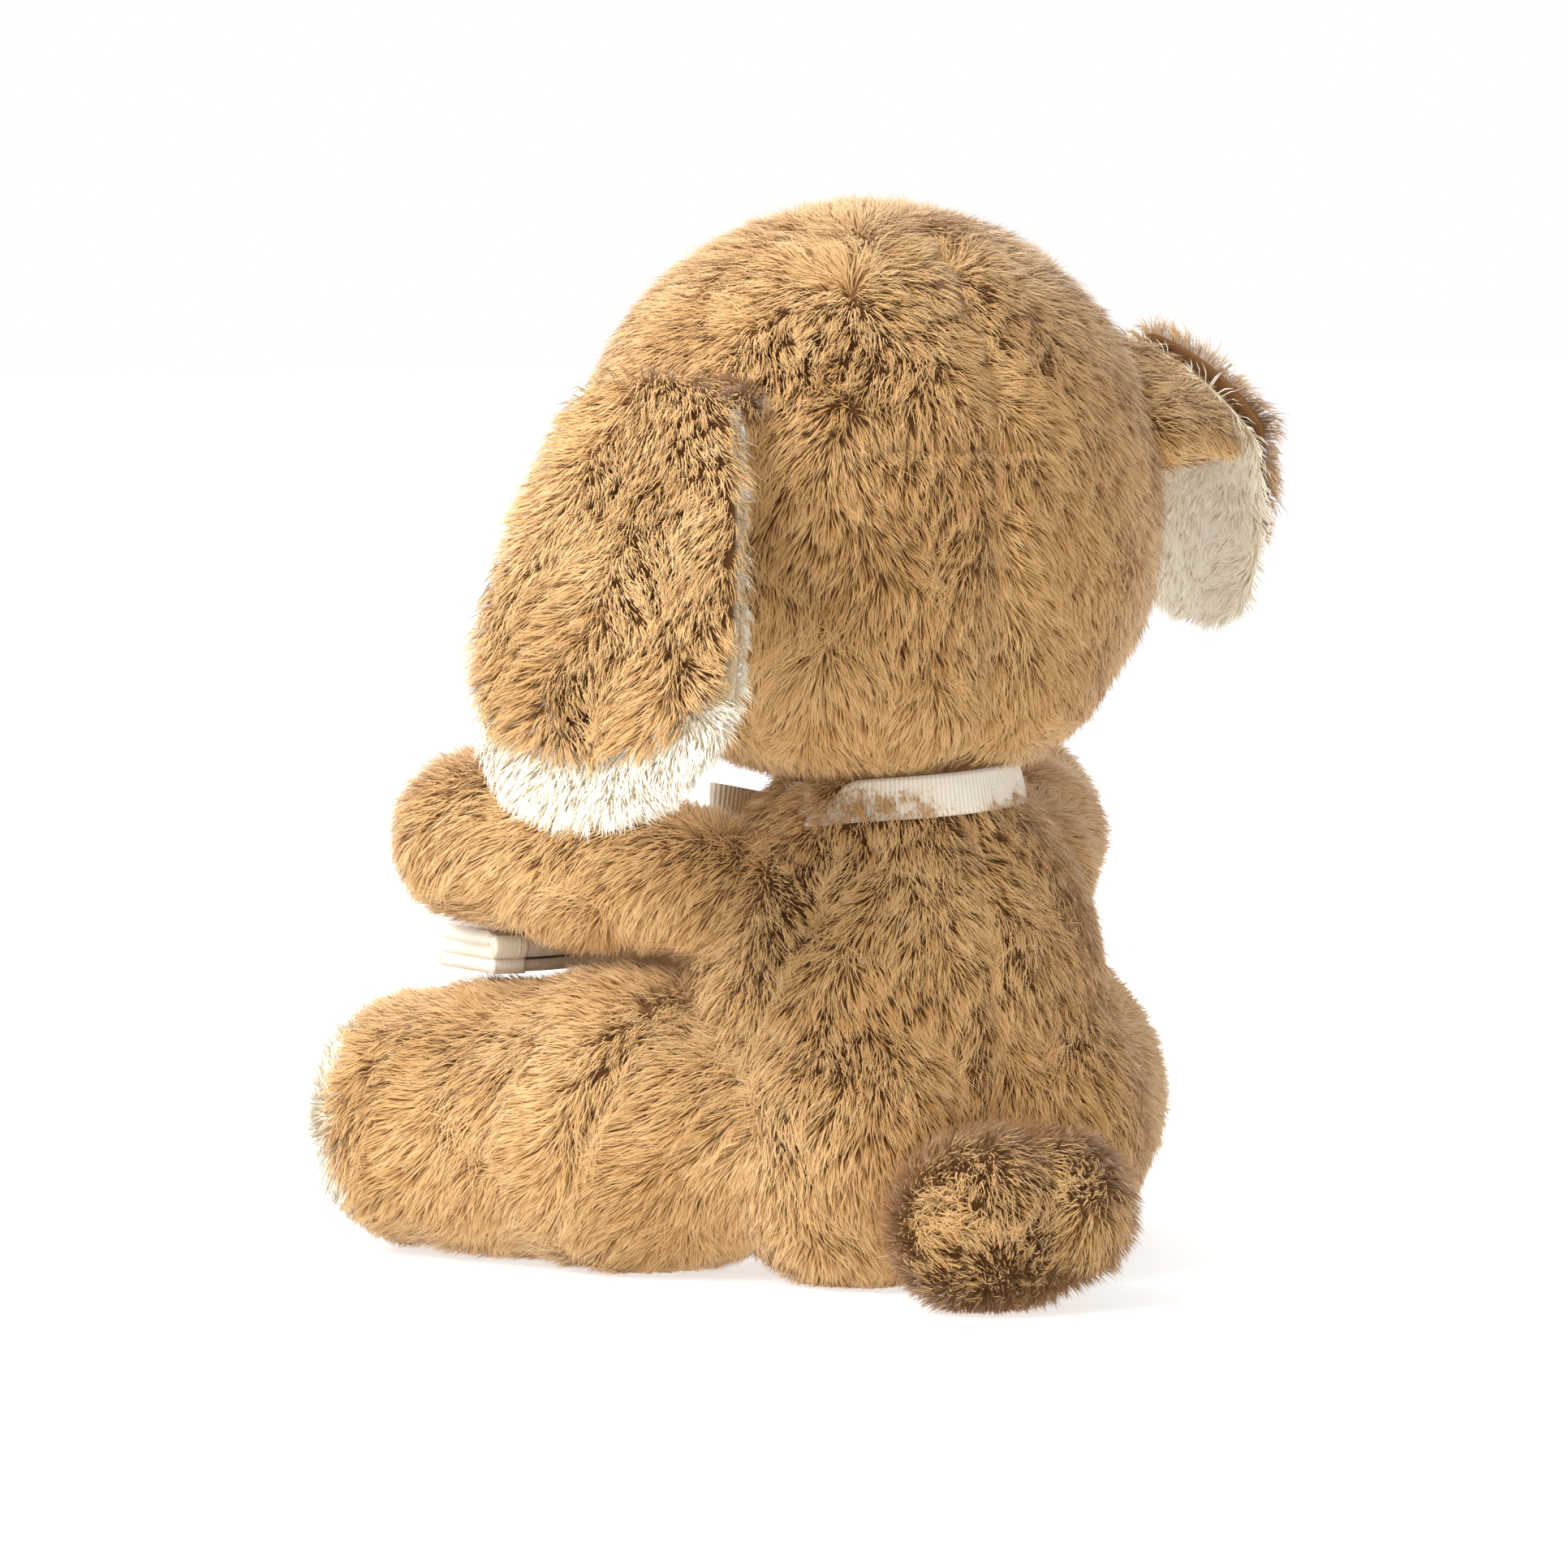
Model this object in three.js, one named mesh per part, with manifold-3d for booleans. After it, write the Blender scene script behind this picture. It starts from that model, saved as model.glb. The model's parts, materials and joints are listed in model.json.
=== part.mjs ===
// Sitting plush dog: furry sacks of stuffing sewn to each other, a ribbon collar with a bow,
// and a small comfort blanket held between the front paws.
// Millimetres. +Z is up, the dog faces -Y, and its left side is +X.

import * as THREE from "three";
import { mergeVertices } from "three/addons/utils/BufferGeometryUtils.js";
import Module from "manifold-3d";

const wasm = await Module();
wasm.setup();

const radians = THREE.MathUtils.degToRad;

// ---------------------------------------------------------------- sizes

const gap = 0.35;            // between pieces that touch
const wall = 4;              // thickness of a furry skin, backing and pile pressed flat
const roundSteps = 20;       // facets round a large sack
const smallSteps = 12;       // facets round a small piece
const coarseSteps = 9;       // facets round the room left for a limb
const far = 1200;            // longer than the whole dog, for cutting tools

const torso = {              // hips up from the seat; chest and nape below the collar
  height: 118, seat: 42, hips: 57, hipsAt: 40, chest: 48, chestBelow: 30, nape: 27, napeBelow: 10, collar: 25,
  depthShare: 0.92, sideSeam: 14,
};
const bag = { radius: 16, height: 20, seatGap: 3, back: 17 };

const neck = { forward: 12, rise: 12, radius: 30 };
const head = { halfWidth: 73, halfDepth: 62, halfHeight: 68, forward: 15, aboveCollar: 10, cutOff: 12 };
const muzzle = { halfWidth: 31, halfDepth: 27, halfHeight: 24, below: 21 };
const nose = { halfWidth: 9, halfDepth: 6, halfHeight: 6.5, sunk: 3, above: 11 };
const eye = { radius: 5.5, apart: 54, above: 8, shank: 1.6, shankLength: 9, washer: 7, washerThickness: 1.6 };

const ear = { length: 106, width: 80, rootWidth: 36, outerThickness: 6, liningThickness: 4, rim: 12 };
const earRoot = { fromBack: 38, above: 21.5 };

// Off the head where the ear comes nearest to it, at its root (1) or where the head is widest (0);
// then turned back, flared out and leant forward, in degrees.
const earPose = {
  left: { off: 5.77, nearest: 1, turn: 28, flare: 20, lean: 0 },
  right: { off: 5.745, nearest: 0, turn: -6, flare: 36, lean: 52 },
};

const arm = {
  inset: 6, forward: 14, below: 27, length: 64, rootRadius: 17, pawRadius: 21, splay: 30, overBlanket: 1.907,
  socket: 2, lift: 25,
};
const leg = {
  inset: 25, belowHips: 3, rootRadius: 22, thighRadius: 34, thighAlong: 38, shinRadius: 32, shinAlong: 80,
  footRadius: 31, reach: 115, soleRound: 13, splay: 28.6, socket: 4, inward: 5, outward: 20,
};
const sole = { radius: 21 };
const tail = {
  rootAt: 24, rootSunk: 2.44, rootRadius: 13, halfWidth: 28, halfDepth: 20, halfHeight: 21, reach: 24, side: 15,
};

const ribbon = { width: 10, thickness: 1.2, overCollar: 0.2, play: 0.6 };
const bow = {
  below: 8.2, knot: 9, knotThickness: 7, loopLength: 26, loopHeight: 15, loopThickness: 5,
  tailLength: 34, tailWidth: 9, tailThickness: 1.2, play: 1.4,
};
const blanket = { width: 150, depth: 31, thickness: 8, binding: 8.5, ahead: 8.11, corner: 3.5 };

const plush = { color: 0xc09a64, roughness: 0.95, metalness: 0 };
const cream = { color: 0xf3ead2, roughness: 0.95, metalness: 0 };
const filling = { color: 0xf4f4f0, roughness: 1, metalness: 0 };
const satin = { color: 0xe4d8c2, roughness: 0.5, metalness: 0 };
const darkPlastic = { color: 0x17110d, roughness: 0.15, metalness: 0 };
const clearPlastic = { color: 0xd8d8d4, roughness: 0.4, metalness: 0 };
const noseFabric = { color: 0x4b2f22, roughness: 0.8, metalness: 0 };

// ---------------------------------------------------------------- tools

/** A closed geometry as a solid that can be cut and joined. */
function solid(geometry) {
  const bare = geometry.clone();
  bare.deleteAttribute("normal");
  bare.deleteAttribute("uv");
  const merged = mergeVertices(bare, 1e-4);
  return new wasm.Manifold(new wasm.Mesh({
    numProp: 3,
    vertProperties: Float32Array.from(merged.attributes.position.array),
    triVerts: Uint32Array.from(merged.index.array),
  }));
}

/** A solid back as a geometry. */
function geometryOf(body) {
  const mesh = body.getMesh();
  const geometry = new THREE.BufferGeometry();
  geometry.setAttribute("position", new THREE.BufferAttribute(Float32Array.from(mesh.vertProperties), 3));
  geometry.setIndex(new THREE.BufferAttribute(Uint32Array.from(mesh.triVerts), 1));
  geometry.computeVertexNormals();
  return geometry;
}

function piece(name, geometry, finish) {
  const mesh = new THREE.Mesh(geometry, new THREE.MeshStandardMaterial(finish));
  mesh.name = name;
  return mesh;
}

/** Only the largest body of a cut, so that no crumb is left beside it. */
function mainBody(body) {
  const bodies = body.decompose();
  bodies.sort((a, b) => b.volume() - a.volume());
  return bodies[0];
}

function ellipsoid(rx, ry, rz, x, y, z, steps = roundSteps) {
  const geometry = new THREE.SphereGeometry(1, steps, Math.round(steps / 2));
  geometry.rotateX(Math.PI / 2);
  geometry.scale(rx, ry, rz);
  geometry.translate(x, y, z);
  return solid(geometry);
}

function ball(radius, centre, steps = smallSteps) {
  return ellipsoid(radius, radius, radius, centre.x, centre.y, centre.z, steps);
}

/** Everything on the far side of a plane: along axis "x", "y" or "z", above (+1) or below (-1) the value. */
function halfSpace(axis, value, side) {
  const geometry = new THREE.BoxGeometry(far, far, far);
  const shift = new THREE.Vector3();
  shift[axis] = value + (side * far) / 2;
  geometry.translate(shift.x, shift.y, shift.z);
  return solid(geometry);
}

/** A profile of [radius, height] points turned about Z. Both ends lie on the axis. */
function turned(profile, steps = roundSteps) {
  const geometry = new THREE.LatheGeometry(profile.map(([r, z]) => new THREE.Vector2(r, z)), steps);
  geometry.rotateX(Math.PI / 2);
  return geometry;
}

/** Points of a quarter or half circle in the profile plane, from one angle to another, in degrees. */
function arc(radius, r, z, from, to, steps) {
  const points = [];
  for (let i = 0; i <= steps; i += 1) {
    const angle = radians(from + ((to - from) * i) / steps);
    points.push([Math.max(0, r + radius * Math.cos(angle)), z + radius * Math.sin(angle)]);
  }
  return points;
}

/** A round bar along +Z from a ball of one radius to a ball of another. */
function limb(length, rootRadius, tipRadius, steps = smallSteps) {
  const lean = (Math.asin((rootRadius - tipRadius) / length) * 180) / Math.PI;
  return turned([
    ...arc(rootRadius, 0, 0, -90, lean, 5),
    ...arc(tipRadius, 0, length, lean, 90, 5),
  ], steps);
}

/** Turns something made along +Z so that it points forward and outward on one side, sloping by a drop. */
function aim(geometry, side, splay, slope, origin) {
  geometry.rotateX(Math.PI / 2 + slope);
  geometry.rotateZ(side * radians(splay));
  geometry.translate(origin.x, origin.y, origin.z);
  return geometry;
}

/** A cylinder along X, from one x to another. */
function drumAlongX(radius, fromX, toX, y, z) {
  const geometry = new THREE.CylinderGeometry(radius, radius, Math.abs(toX - fromX), roundSteps);
  geometry.rotateZ(Math.PI / 2);
  geometry.translate((fromX + toX) / 2, y, z);
  return solid(geometry);
}

// ---------------------------------------------------------------- places that follow from the sizes

const sides = { left: 1, right: -1 };

const chestAt = torso.height - torso.chestBelow;
const napeAt = torso.height - torso.napeBelow;
const headOpenAt = torso.height + head.aboveCollar;
const headAt = headOpenAt + head.halfHeight - head.cutOff;
const muzzleForward = head.forward + head.halfDepth;
const muzzleAt = headAt - muzzle.below;
const noseForward = muzzleForward + muzzle.halfDepth - nose.sunk;
const noseAt = muzzleAt + nose.above;
const eyeAt = headAt + eye.above;
const earRootAt = headAt + earRoot.above;
const earRootBack = head.halfDepth - earRoot.fromBack;

const armOut = torso.chest - arm.inset;
const armAt = torso.height - arm.below;
const legOut = torso.hips - leg.inset;
const legAt = torso.hipsAt - leg.belowHips;
const tailRootBack = torso.hips * torso.depthShare - tail.rootSunk;

const ribbonAt = torso.height + ribbon.overCollar - ribbon.width / 2;
const bowAt = ribbonAt - bow.below;

// The blanket lies as high as the shins, and the paws come down onto it.
const blanketAt = legAt + leg.shinRadius + blanket.thickness / 2;
const pawAt = blanketAt + blanket.thickness / 2 + arm.overBlanket + arm.pawRadius;
const armRise = Math.asin((pawAt - armAt) / arm.length);
const pawForward = arm.forward + arm.length * Math.cos(radians(arm.splay)) * Math.cos(armRise);
const blanketForward = pawForward + blanket.ahead;

/** How far out from the middle the head's surface is, at a distance behind its centre and above it. */
function headSideAt(back, above) {
  const left = 1 - (back / head.halfDepth) ** 2 - (above / head.halfHeight) ** 2;
  return head.halfWidth * Math.sqrt(left);
}

const neckPivot = new THREE.Vector3(0, -neck.forward, torso.height + neck.rise);
const shoulder = (side) => new THREE.Vector3(side * armOut, -arm.forward, armAt);
const tailRoot = new THREE.Vector3(0, tailRootBack, tail.rootAt);
const tailMiddle = new THREE.Vector3(tail.side, tailRootBack + tail.reach, tail.halfHeight);

// ---------------------------------------------------------------- torso

/** The pear outline of the body, drawn in by an inset, from the seat to the collar. */
function torsoOutline(inset) {
  const seatEdge = torso.seat - inset;
  const side = new THREE.SplineCurve([
    new THREE.Vector2(seatEdge, inset),
    new THREE.Vector2(torso.hips * 0.94 - inset, torso.hipsAt * 0.36),
    new THREE.Vector2(torso.hips - inset, torso.hipsAt),
    new THREE.Vector2(torso.chest - inset, chestAt),
    new THREE.Vector2(torso.nape - inset, napeAt),
    new THREE.Vector2(torso.collar - inset, torso.height),
  ]);
  return side.getPoints(12).map((point) => [point.x, point.y]);
}

/** How far the body reaches from its axis at a height. */
function torsoRadiusAt(height) {
  const outline = torsoOutline(0);
  const next = outline.findIndex(([, z]) => z >= height);
  const [r0, z0] = outline[next - 1];
  const [r1, z1] = outline[next];
  return r0 + ((r1 - r0) * (height - z0)) / (z1 - z0);
}

function torsoSack(inset, top) {
  const outline = torsoOutline(inset);
  outline[outline.length - 1][1] = top;
  const geometry = turned([[0, inset], ...outline, [0, top]]);
  geometry.scale(1, torso.depthShare, 1);
  return solid(geometry);
}

/** A short upright drum, from one height to another. */
function drum(radius, low, high, steps = smallSteps) {
  const geometry = new THREE.CylinderGeometry(radius, radius, high - low, steps);
  geometry.rotateX(Math.PI / 2);
  geometry.translate(0, 0, (low + high) / 2);
  return geometry;
}

/** Everything that a leg sweeps as it splays, with room round it. */
function legRoom(side) {
  const turns = [-leg.inward, (leg.outward - leg.inward) / 2, leg.outward];
  const bars = turns.map((turn) => legBar(side, -leg.socket, 0, turn, coarseSteps));
  return bars.reduce((room, bar) => room.add(bar));
}

function torsoPieces() {
  const rooms = [ball(tail.rootRadius + 0.8, tailRoot)];
  for (const side of Object.values(sides)) {
    rooms.push(legRoom(side), armBar(side, -arm.socket), armBar(side, -arm.socket, arm.lift));
  }
  const cut = (body) => rooms.reduce((left, room) => left.subtract(room), body);

  const skin = cut(torsoSack(0, torso.height).subtract(torsoSack(wall, torso.height + wall)));
  const seat = skin.intersect(halfSpace("z", wall, -1));
  const above = skin.subtract(halfSpace("z", wall + gap, -1));
  const belly = above.intersect(halfSpace("y", -torso.sideSeam, -1));
  const back = above.intersect(halfSpace("y", -torso.sideSeam + gap, 1));

  const bagLow = wall + bag.seatGap;
  const inBack = (geometry) => geometry.translate(0, bag.back, 0);
  const pocket = solid(inBack(drum(bag.radius + gap, bagLow - gap, bagLow + bag.height + gap)));
  const pocketMouth = solid(inBack(drum(bag.radius / 2, 0, bagLow)));
  const core = cut(torsoSack(wall + gap, torso.height)).subtract(pocket).subtract(pocketMouth);
  return [
    piece("seat_panel", geometryOf(mainBody(seat)), plush),
    piece("belly_panel", geometryOf(mainBody(belly)), plush),
    piece("back_panel_left", geometryOf(mainBody(back.intersect(halfSpace("x", gap / 2, 1)))), plush),
    piece("back_panel_right", geometryOf(mainBody(back.intersect(halfSpace("x", -gap / 2, -1)))), plush),
    piece("torso_stuffing", geometryOf(mainBody(core)), filling),
    piece("pellet_bag", inBack(drum(bag.radius, bagLow, bagLow + bag.height)), satin),
  ];
}

// ---------------------------------------------------------------- neck and head

/** A wad of stuffing with a flat foot on the collar and a round top inside the head. */
function neckStuffing() {
  const dome = ball(neck.radius, neckPivot, roundSteps).subtract(halfSpace("z", torso.height + gap, -1));
  return piece("neck_stuffing", geometryOf(dome), filling);
}

function headSack(inset) {
  return ellipsoid(
    head.halfWidth - inset, head.halfDepth - inset, head.halfHeight - inset,
    0, -head.forward, headAt, roundSteps + 4,
  );
}

function muzzleSack(inset) {
  return ellipsoid(
    muzzle.halfWidth - inset, muzzle.halfDepth - inset, muzzle.halfHeight - inset,
    0, -muzzleForward, muzzleAt, roundSteps,
  );
}

/** The front of the head at a width and a height, and the way out of it there. */
function faceSpot(x, z) {
  const across = x / head.halfWidth;
  const up = (z - headAt) / head.halfHeight;
  const depth = Math.sqrt(1 - across * across - up * up);
  const point = new THREE.Vector3(x, -head.forward - head.halfDepth * depth, z);
  const out = new THREE.Vector3(across / head.halfWidth, -depth / head.halfDepth, up / head.halfHeight).normalize();
  return { point, out };
}

/** Moves something made about the origin along +Z onto a spot of the face, at a distance along its way out. */
function ontoFace(geometry, spot, distance) {
  const turn = new THREE.Quaternion().setFromUnitVectors(new THREE.Vector3(0, 0, 1), spot.out);
  geometry.applyQuaternion(turn);
  const place = spot.point.clone().addScaledVector(spot.out, distance);
  return geometry.translate(place.x, place.y, place.z);
}

function shankRod(radius, spot, length) {
  const geometry = new THREE.CylinderGeometry(radius, radius, length, smallSteps);
  geometry.rotateX(Math.PI / 2);
  return solid(ontoFace(geometry, spot, -length / 2 + 1));
}

function washerDisc(spot, swell) {
  const thickness = eye.washerThickness + 2 * swell;
  const geometry = new THREE.CylinderGeometry(eye.washer + swell, eye.washer + swell, thickness, smallSteps);
  geometry.rotateX(Math.PI / 2);
  return solid(ontoFace(geometry, spot, -wall - 1.2 - eye.washerThickness / 2));
}

function eyeDome(spot) {
  const geometry = new THREE.SphereGeometry(eye.radius, smallSteps, 12);
  geometry.rotateX(Math.PI / 2);
  geometry.scale(1, 1, 0.7);
  return solid(ontoFace(geometry, spot, 1.5));
}

function headPieces() {
  const neckRoom = ball(neck.radius + 0.8, neckPivot, roundSteps);
  const below = halfSpace("z", headOpenAt, -1);
  const outer = headSack(0);
  const spots = ["left", "right"].map((name) => faceSpot((sides[name] * eye.apart) / 2, eyeAt));
  let skin = outer.subtract(headSack(wall)).subtract(below).subtract(neckRoom);
  let core = headSack(wall + gap).subtract(below).subtract(neckRoom);
  const eyes = spots.map((spot, index) => {
    const shank = shankRod(eye.shank, spot, eye.shankLength);
    const rodRoom = shankRod(eye.shank + gap, spot, eye.shankLength + 1);
    skin = skin.subtract(rodRoom).subtract(eyeDomeRoom(spot));
    core = core.subtract(rodRoom).subtract(washerDisc(spot, gap)).subtract(washerChute(spot));
    const name = index === 0 ? "left" : "right";
    return [
      piece(`eye_${name}`, geometryOf(eyeDome(spot).add(shank)), darkPlastic),
      piece(`eye_washer_${name}`, geometryOf(washerDisc(spot, 0).subtract(rodRoom)), clearPlastic),
    ];
  });
  const muzzleSkin = muzzleSack(0).subtract(muzzleSack(wall)).subtract(headSack(-gap));
  const muzzleCore = muzzleSack(wall + gap).subtract(headSack(-gap));
  const noseBody = ellipsoid(
    nose.halfWidth, nose.halfDepth, nose.halfHeight, 0, -noseForward, noseAt, smallSteps,
  ).subtract(muzzleSack(-gap));
  return [
    piece("head_panel_left", geometryOf(mainBody(skin.intersect(halfSpace("x", gap / 2, 1)))), plush),
    piece("head_panel_right", geometryOf(mainBody(skin.intersect(halfSpace("x", -gap / 2, -1)))), plush),
    piece("head_stuffing", geometryOf(mainBody(core)), filling),
    piece("muzzle_skin", geometryOf(mainBody(muzzleSkin)), cream),
    piece("muzzle_stuffing", geometryOf(mainBody(muzzleCore)), filling),
    piece("nose", geometryOf(mainBody(noseBody)), noseFabric),
    ...eyes.flat(),
  ];
}

/** Room in the skin where the back of an eye sinks into the pile. */
function eyeDomeRoom(spot) {
  const geometry = new THREE.SphereGeometry(eye.radius + gap, smallSteps, 12);
  geometry.rotateX(Math.PI / 2);
  geometry.scale(1, 1, 0.7);
  return solid(ontoFace(geometry, spot, 1.5));
}

/** The way that a washer goes into the stuffing, from under the skin. */
function washerChute(spot) {
  const geometry = new THREE.CylinderGeometry(eye.washer + gap, eye.washer + gap, 3 * wall, smallSteps);
  geometry.rotateX(Math.PI / 2);
  return solid(ontoFace(geometry, spot, wall * 0.2));
}

// ---------------------------------------------------------------- ears

/** The outline of an ear hanging down from its root at the origin, in across and down. */
function earOutline(length, width) {
  const half = width / 2;
  const rootHalf = ear.rootWidth / 2;
  const shape = new THREE.Shape();
  shape.moveTo(-rootHalf, 0);
  shape.bezierCurveTo(-half * 0.85, -length * 0.12, -half * 1.02, -length * 0.4, -half, -length * 0.66);
  shape.bezierCurveTo(-half * 0.92, -length * 0.92, -half * 0.5, -length, 0, -length);
  shape.bezierCurveTo(half * 0.5, -length, half * 0.92, -length * 0.92, half, -length * 0.66);
  shape.bezierCurveTo(half * 1.02, -length * 0.4, half * 0.85, -length * 0.12, rootHalf, 0);
  shape.closePath();
  return shape;
}

/** A slab of an outline: across is Y, down is -Z, and its thickness runs along X from one x to another. */
function earSlab(outline, fromX, toX) {
  const geometry = new THREE.ExtrudeGeometry(outline, { depth: toX - fromX, bevelEnabled: false, curveSegments: 8 });
  geometry.rotateX(Math.PI / 2);
  geometry.rotateZ(Math.PI / 2);
  geometry.translate(fromX, 0, 0);
  return geometry;
}

function earGroup(name) {
  const side = sides[name];
  const pose = earPose[name];
  const lining = earSlab(earOutline(ear.length, ear.width), 0, ear.liningThickness);
  const outer = earSlab(
    earOutline(ear.length - ear.rim, ear.width - ear.rim * 0.3),
    ear.liningThickness + gap, ear.liningThickness + gap + ear.outerThickness,
  );
  const inner = new THREE.Group();
  inner.add(piece(`ear_lining_${name}`, lining, cream), piece(`ear_outer_${name}`, outer, plush));
  inner.rotation.set(-side * radians(pose.lean), -radians(pose.flare), 0, "YXZ");
  const group = new THREE.Group();
  group.add(inner);
  const out = headSideAt(pose.nearest * earRootBack, earRoot.above) + pose.off;
  group.position.set(side * out, earRootBack - head.forward, earRootAt);
  group.rotation.z = side > 0 ? radians(pose.turn) : Math.PI - radians(pose.turn);
  return group;
}

// ---------------------------------------------------------------- arms, legs and tail

/** An arm from its ball at the shoulder to its paw, drawn in by an inset and lifted by an extra turn. */
function armBar(side, inset, lift = 0) {
  const steps = inset < 0 ? coarseSteps : smallSteps;
  const shape = limb(arm.length, arm.rootRadius - inset, arm.pawRadius - inset, steps);
  aim(shape, side, arm.splay, -armRise, new THREE.Vector3());
  shape.rotateX(-radians(lift));
  const root = shoulder(side);
  return solid(shape.translate(root.x, root.y, root.z));
}

function armPieces(name) {
  const side = sides[name];
  const root = shoulder(side);
  const bar = (inset) => armBar(side, inset);
  const mouth = drumAlongX(arm.rootRadius / 2, root.x, root.x - side * arm.rootRadius * 2, root.y, root.z);
  return [
    piece(`arm_skin_${name}`, geometryOf(mainBody(bar(0).subtract(bar(wall)).subtract(mouth))), plush),
    piece(`arm_stuffing_${name}`, geometryOf(bar(wall + gap)), filling),
  ];
}

const hip = (side) => new THREE.Vector3(side * legOut, 0, legAt);
const legSlope = Math.atan((legAt - leg.footRadius) / leg.reach);

/** A leg from its ball at the hip to its round-edged foot, drawn in by an inset and splayed by an extra turn. */
function legBar(side, inset, cutBack = 0, turn = 0, steps = roundSteps) {
  const end = leg.reach - cutBack;
  const corner = leg.soleRound - inset;
  const calf = new THREE.SplineCurve([
    new THREE.Vector2(leg.rootRadius - inset, 0),
    new THREE.Vector2(leg.thighRadius - inset, leg.thighAlong),
    new THREE.Vector2(leg.shinRadius - inset, leg.shinAlong),
    new THREE.Vector2(leg.footRadius - inset, end - corner),
  ]).getPoints(5).slice(1, -1).map((point) => [point.x, point.y]);
  const profile = [
    ...arc(leg.rootRadius - inset, 0, 0, -90, 0, 5),
    ...calf,
    ...arc(corner, leg.footRadius - inset - corner, end - corner, 0, 90, 4),
    [0, end],
  ];
  return solid(aim(turned(profile, steps), side, leg.splay + turn, legSlope, hip(side)));
}

function legPieces(name) {
  const side = sides[name];
  const floor = halfSpace("z", 0, -1);
  const root = hip(side);
  const mouth = drumAlongX(leg.rootRadius / 2, root.x, root.x - side * leg.rootRadius * 2, root.y, root.z);
  const disc = (radius, from, to) => aim(drum(radius, from, to, roundSteps), side, leg.splay, legSlope, hip(side));
  const soleRoom = solid(disc(sole.radius + gap, leg.reach - 2 * wall, leg.reach + wall));
  const skin = legBar(side, 0).subtract(floor).subtract(legBar(side, wall, wall)).subtract(mouth).subtract(soleRoom);
  return [
    piece(`leg_skin_${name}`, geometryOf(mainBody(skin)), plush),
    piece(`leg_stuffing_${name}`, geometryOf(legBar(side, wall + gap, wall + gap)), filling),
    piece(`foot_sole_${name}`, disc(sole.radius, leg.reach - wall, leg.reach), cream),
  ];
}

function tailPieces() {
  const lump = (inset) => ellipsoid(
    tail.halfWidth - inset, tail.halfDepth - inset, tail.halfHeight - inset,
    tailMiddle.x, tailMiddle.y, tailMiddle.z, roundSteps - 6,
  ).add(ball(tail.rootRadius - inset, tailRoot));
  const inward = tailMiddle.clone().sub(tailRoot);
  const reach = inward.length() + 2 * tail.rootRadius;
  const mouth = new THREE.CylinderGeometry(tail.rootRadius * 0.5, tail.rootRadius * 0.5, reach, smallSteps);
  mouth.translate(0, -reach / 2, 0);
  mouth.applyQuaternion(new THREE.Quaternion().setFromUnitVectors(new THREE.Vector3(0, 1, 0), inward.normalize()));
  mouth.translate(tailMiddle.x, tailMiddle.y, tailMiddle.z);
  return [
    piece("tail_skin", geometryOf(mainBody(lump(0).subtract(lump(wall)).subtract(solid(mouth)))), plush),
    piece("tail_stuffing", geometryOf(mainBody(lump(wall + gap))), filling),
  ];
}

// ---------------------------------------------------------------- ribbon, bow and blanket

function ribbonPieces() {
  const low = ribbonAt - ribbon.width / 2;
  const high = ribbonAt + ribbon.width / 2;
  const inner = torsoRadiusAt(low) + ribbon.play;
  const outer = inner + ribbon.thickness;
  const band = new THREE.LatheGeometry(
    [[inner, low], [outer, low], [outer, high], [inner, high], [inner, low]].map(([r, z]) => new THREE.Vector2(r, z)),
    roundSteps,
  );
  band.rotateX(Math.PI / 2);
  return piece("neck_ribbon", band, satin);
}

/** How far forward the front of the body is at a height. */
const bellyFront = (height) => torsoRadiusAt(height) * torso.depthShare;

/** A ribbon tail that hangs from the knot and lies down the front of the body. */
function bowTail(side) {
  const top = bowAt - bow.knot / 2 - gap;
  const steps = 6;
  const near = [];
  const away = [];
  for (let i = 0; i <= steps; i += 1) {
    const z = top - (bow.tailLength * i) / steps;
    near.push(new THREE.Vector2(bellyFront(z) + bow.play, z));
    away.push(new THREE.Vector2(bellyFront(z) + bow.play + bow.tailThickness, z));
  }
  const outline = new THREE.Shape([...near, ...away.reverse()]);
  const strip = new THREE.ExtrudeGeometry(outline, { depth: bow.tailWidth, bevelEnabled: false });
  strip.rotateX(Math.PI / 2);
  strip.rotateZ(-Math.PI / 2);
  strip.translate(side * (1 + bow.tailWidth / 2) + bow.tailWidth / 2, 0, 0);
  return strip;
}

/** One flat loop of the bow, widest near its round end. */
function bowLoop(side, forward) {
  const start = bow.knot / 2 + gap;
  const end = start + bow.loopLength;
  const bulge = start + bow.loopLength * 0.8;
  const half = bow.loopHeight / 2;
  const outline = new THREE.Shape();
  outline.moveTo(start, -half * 0.4);
  outline.bezierCurveTo(start + 6, -half, bulge, -half, end, -half * 0.6);
  outline.lineTo(end, half * 0.6);
  outline.bezierCurveTo(bulge, half, start + 6, half, start, half * 0.4);
  outline.closePath();
  const loop = new THREE.ExtrudeGeometry(outline, { depth: bow.loopThickness, bevelEnabled: false, curveSegments: 5 });
  loop.rotateX(Math.PI / 2);
  loop.translate(0, bow.loopThickness - forward - bow.knotThickness / 2, bowAt);
  if (side > 0) return loop;
  const middle = bow.loopThickness / 2 - forward - bow.knotThickness / 2;
  return loop.translate(0, -middle, 0).rotateZ(Math.PI).translate(0, middle, 0);
}

function bowPieces() {
  const forward = bellyFront(bowAt - bow.knot / 2) + bow.play + bow.knotThickness / 2;
  const knot = new THREE.BoxGeometry(bow.knot, bow.knotThickness, bow.knot);
  knot.translate(0, -forward, bowAt);
  const pieces = [piece("bow_knot", knot, satin)];
  for (const [name, side] of Object.entries(sides)) {
    pieces.push(piece(`bow_loop_${name}`, bowLoop(side, forward), satin));
    pieces.push(piece(`bow_tail_${name}`, bowTail(side), satin));
  }
  return pieces;
}

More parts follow.
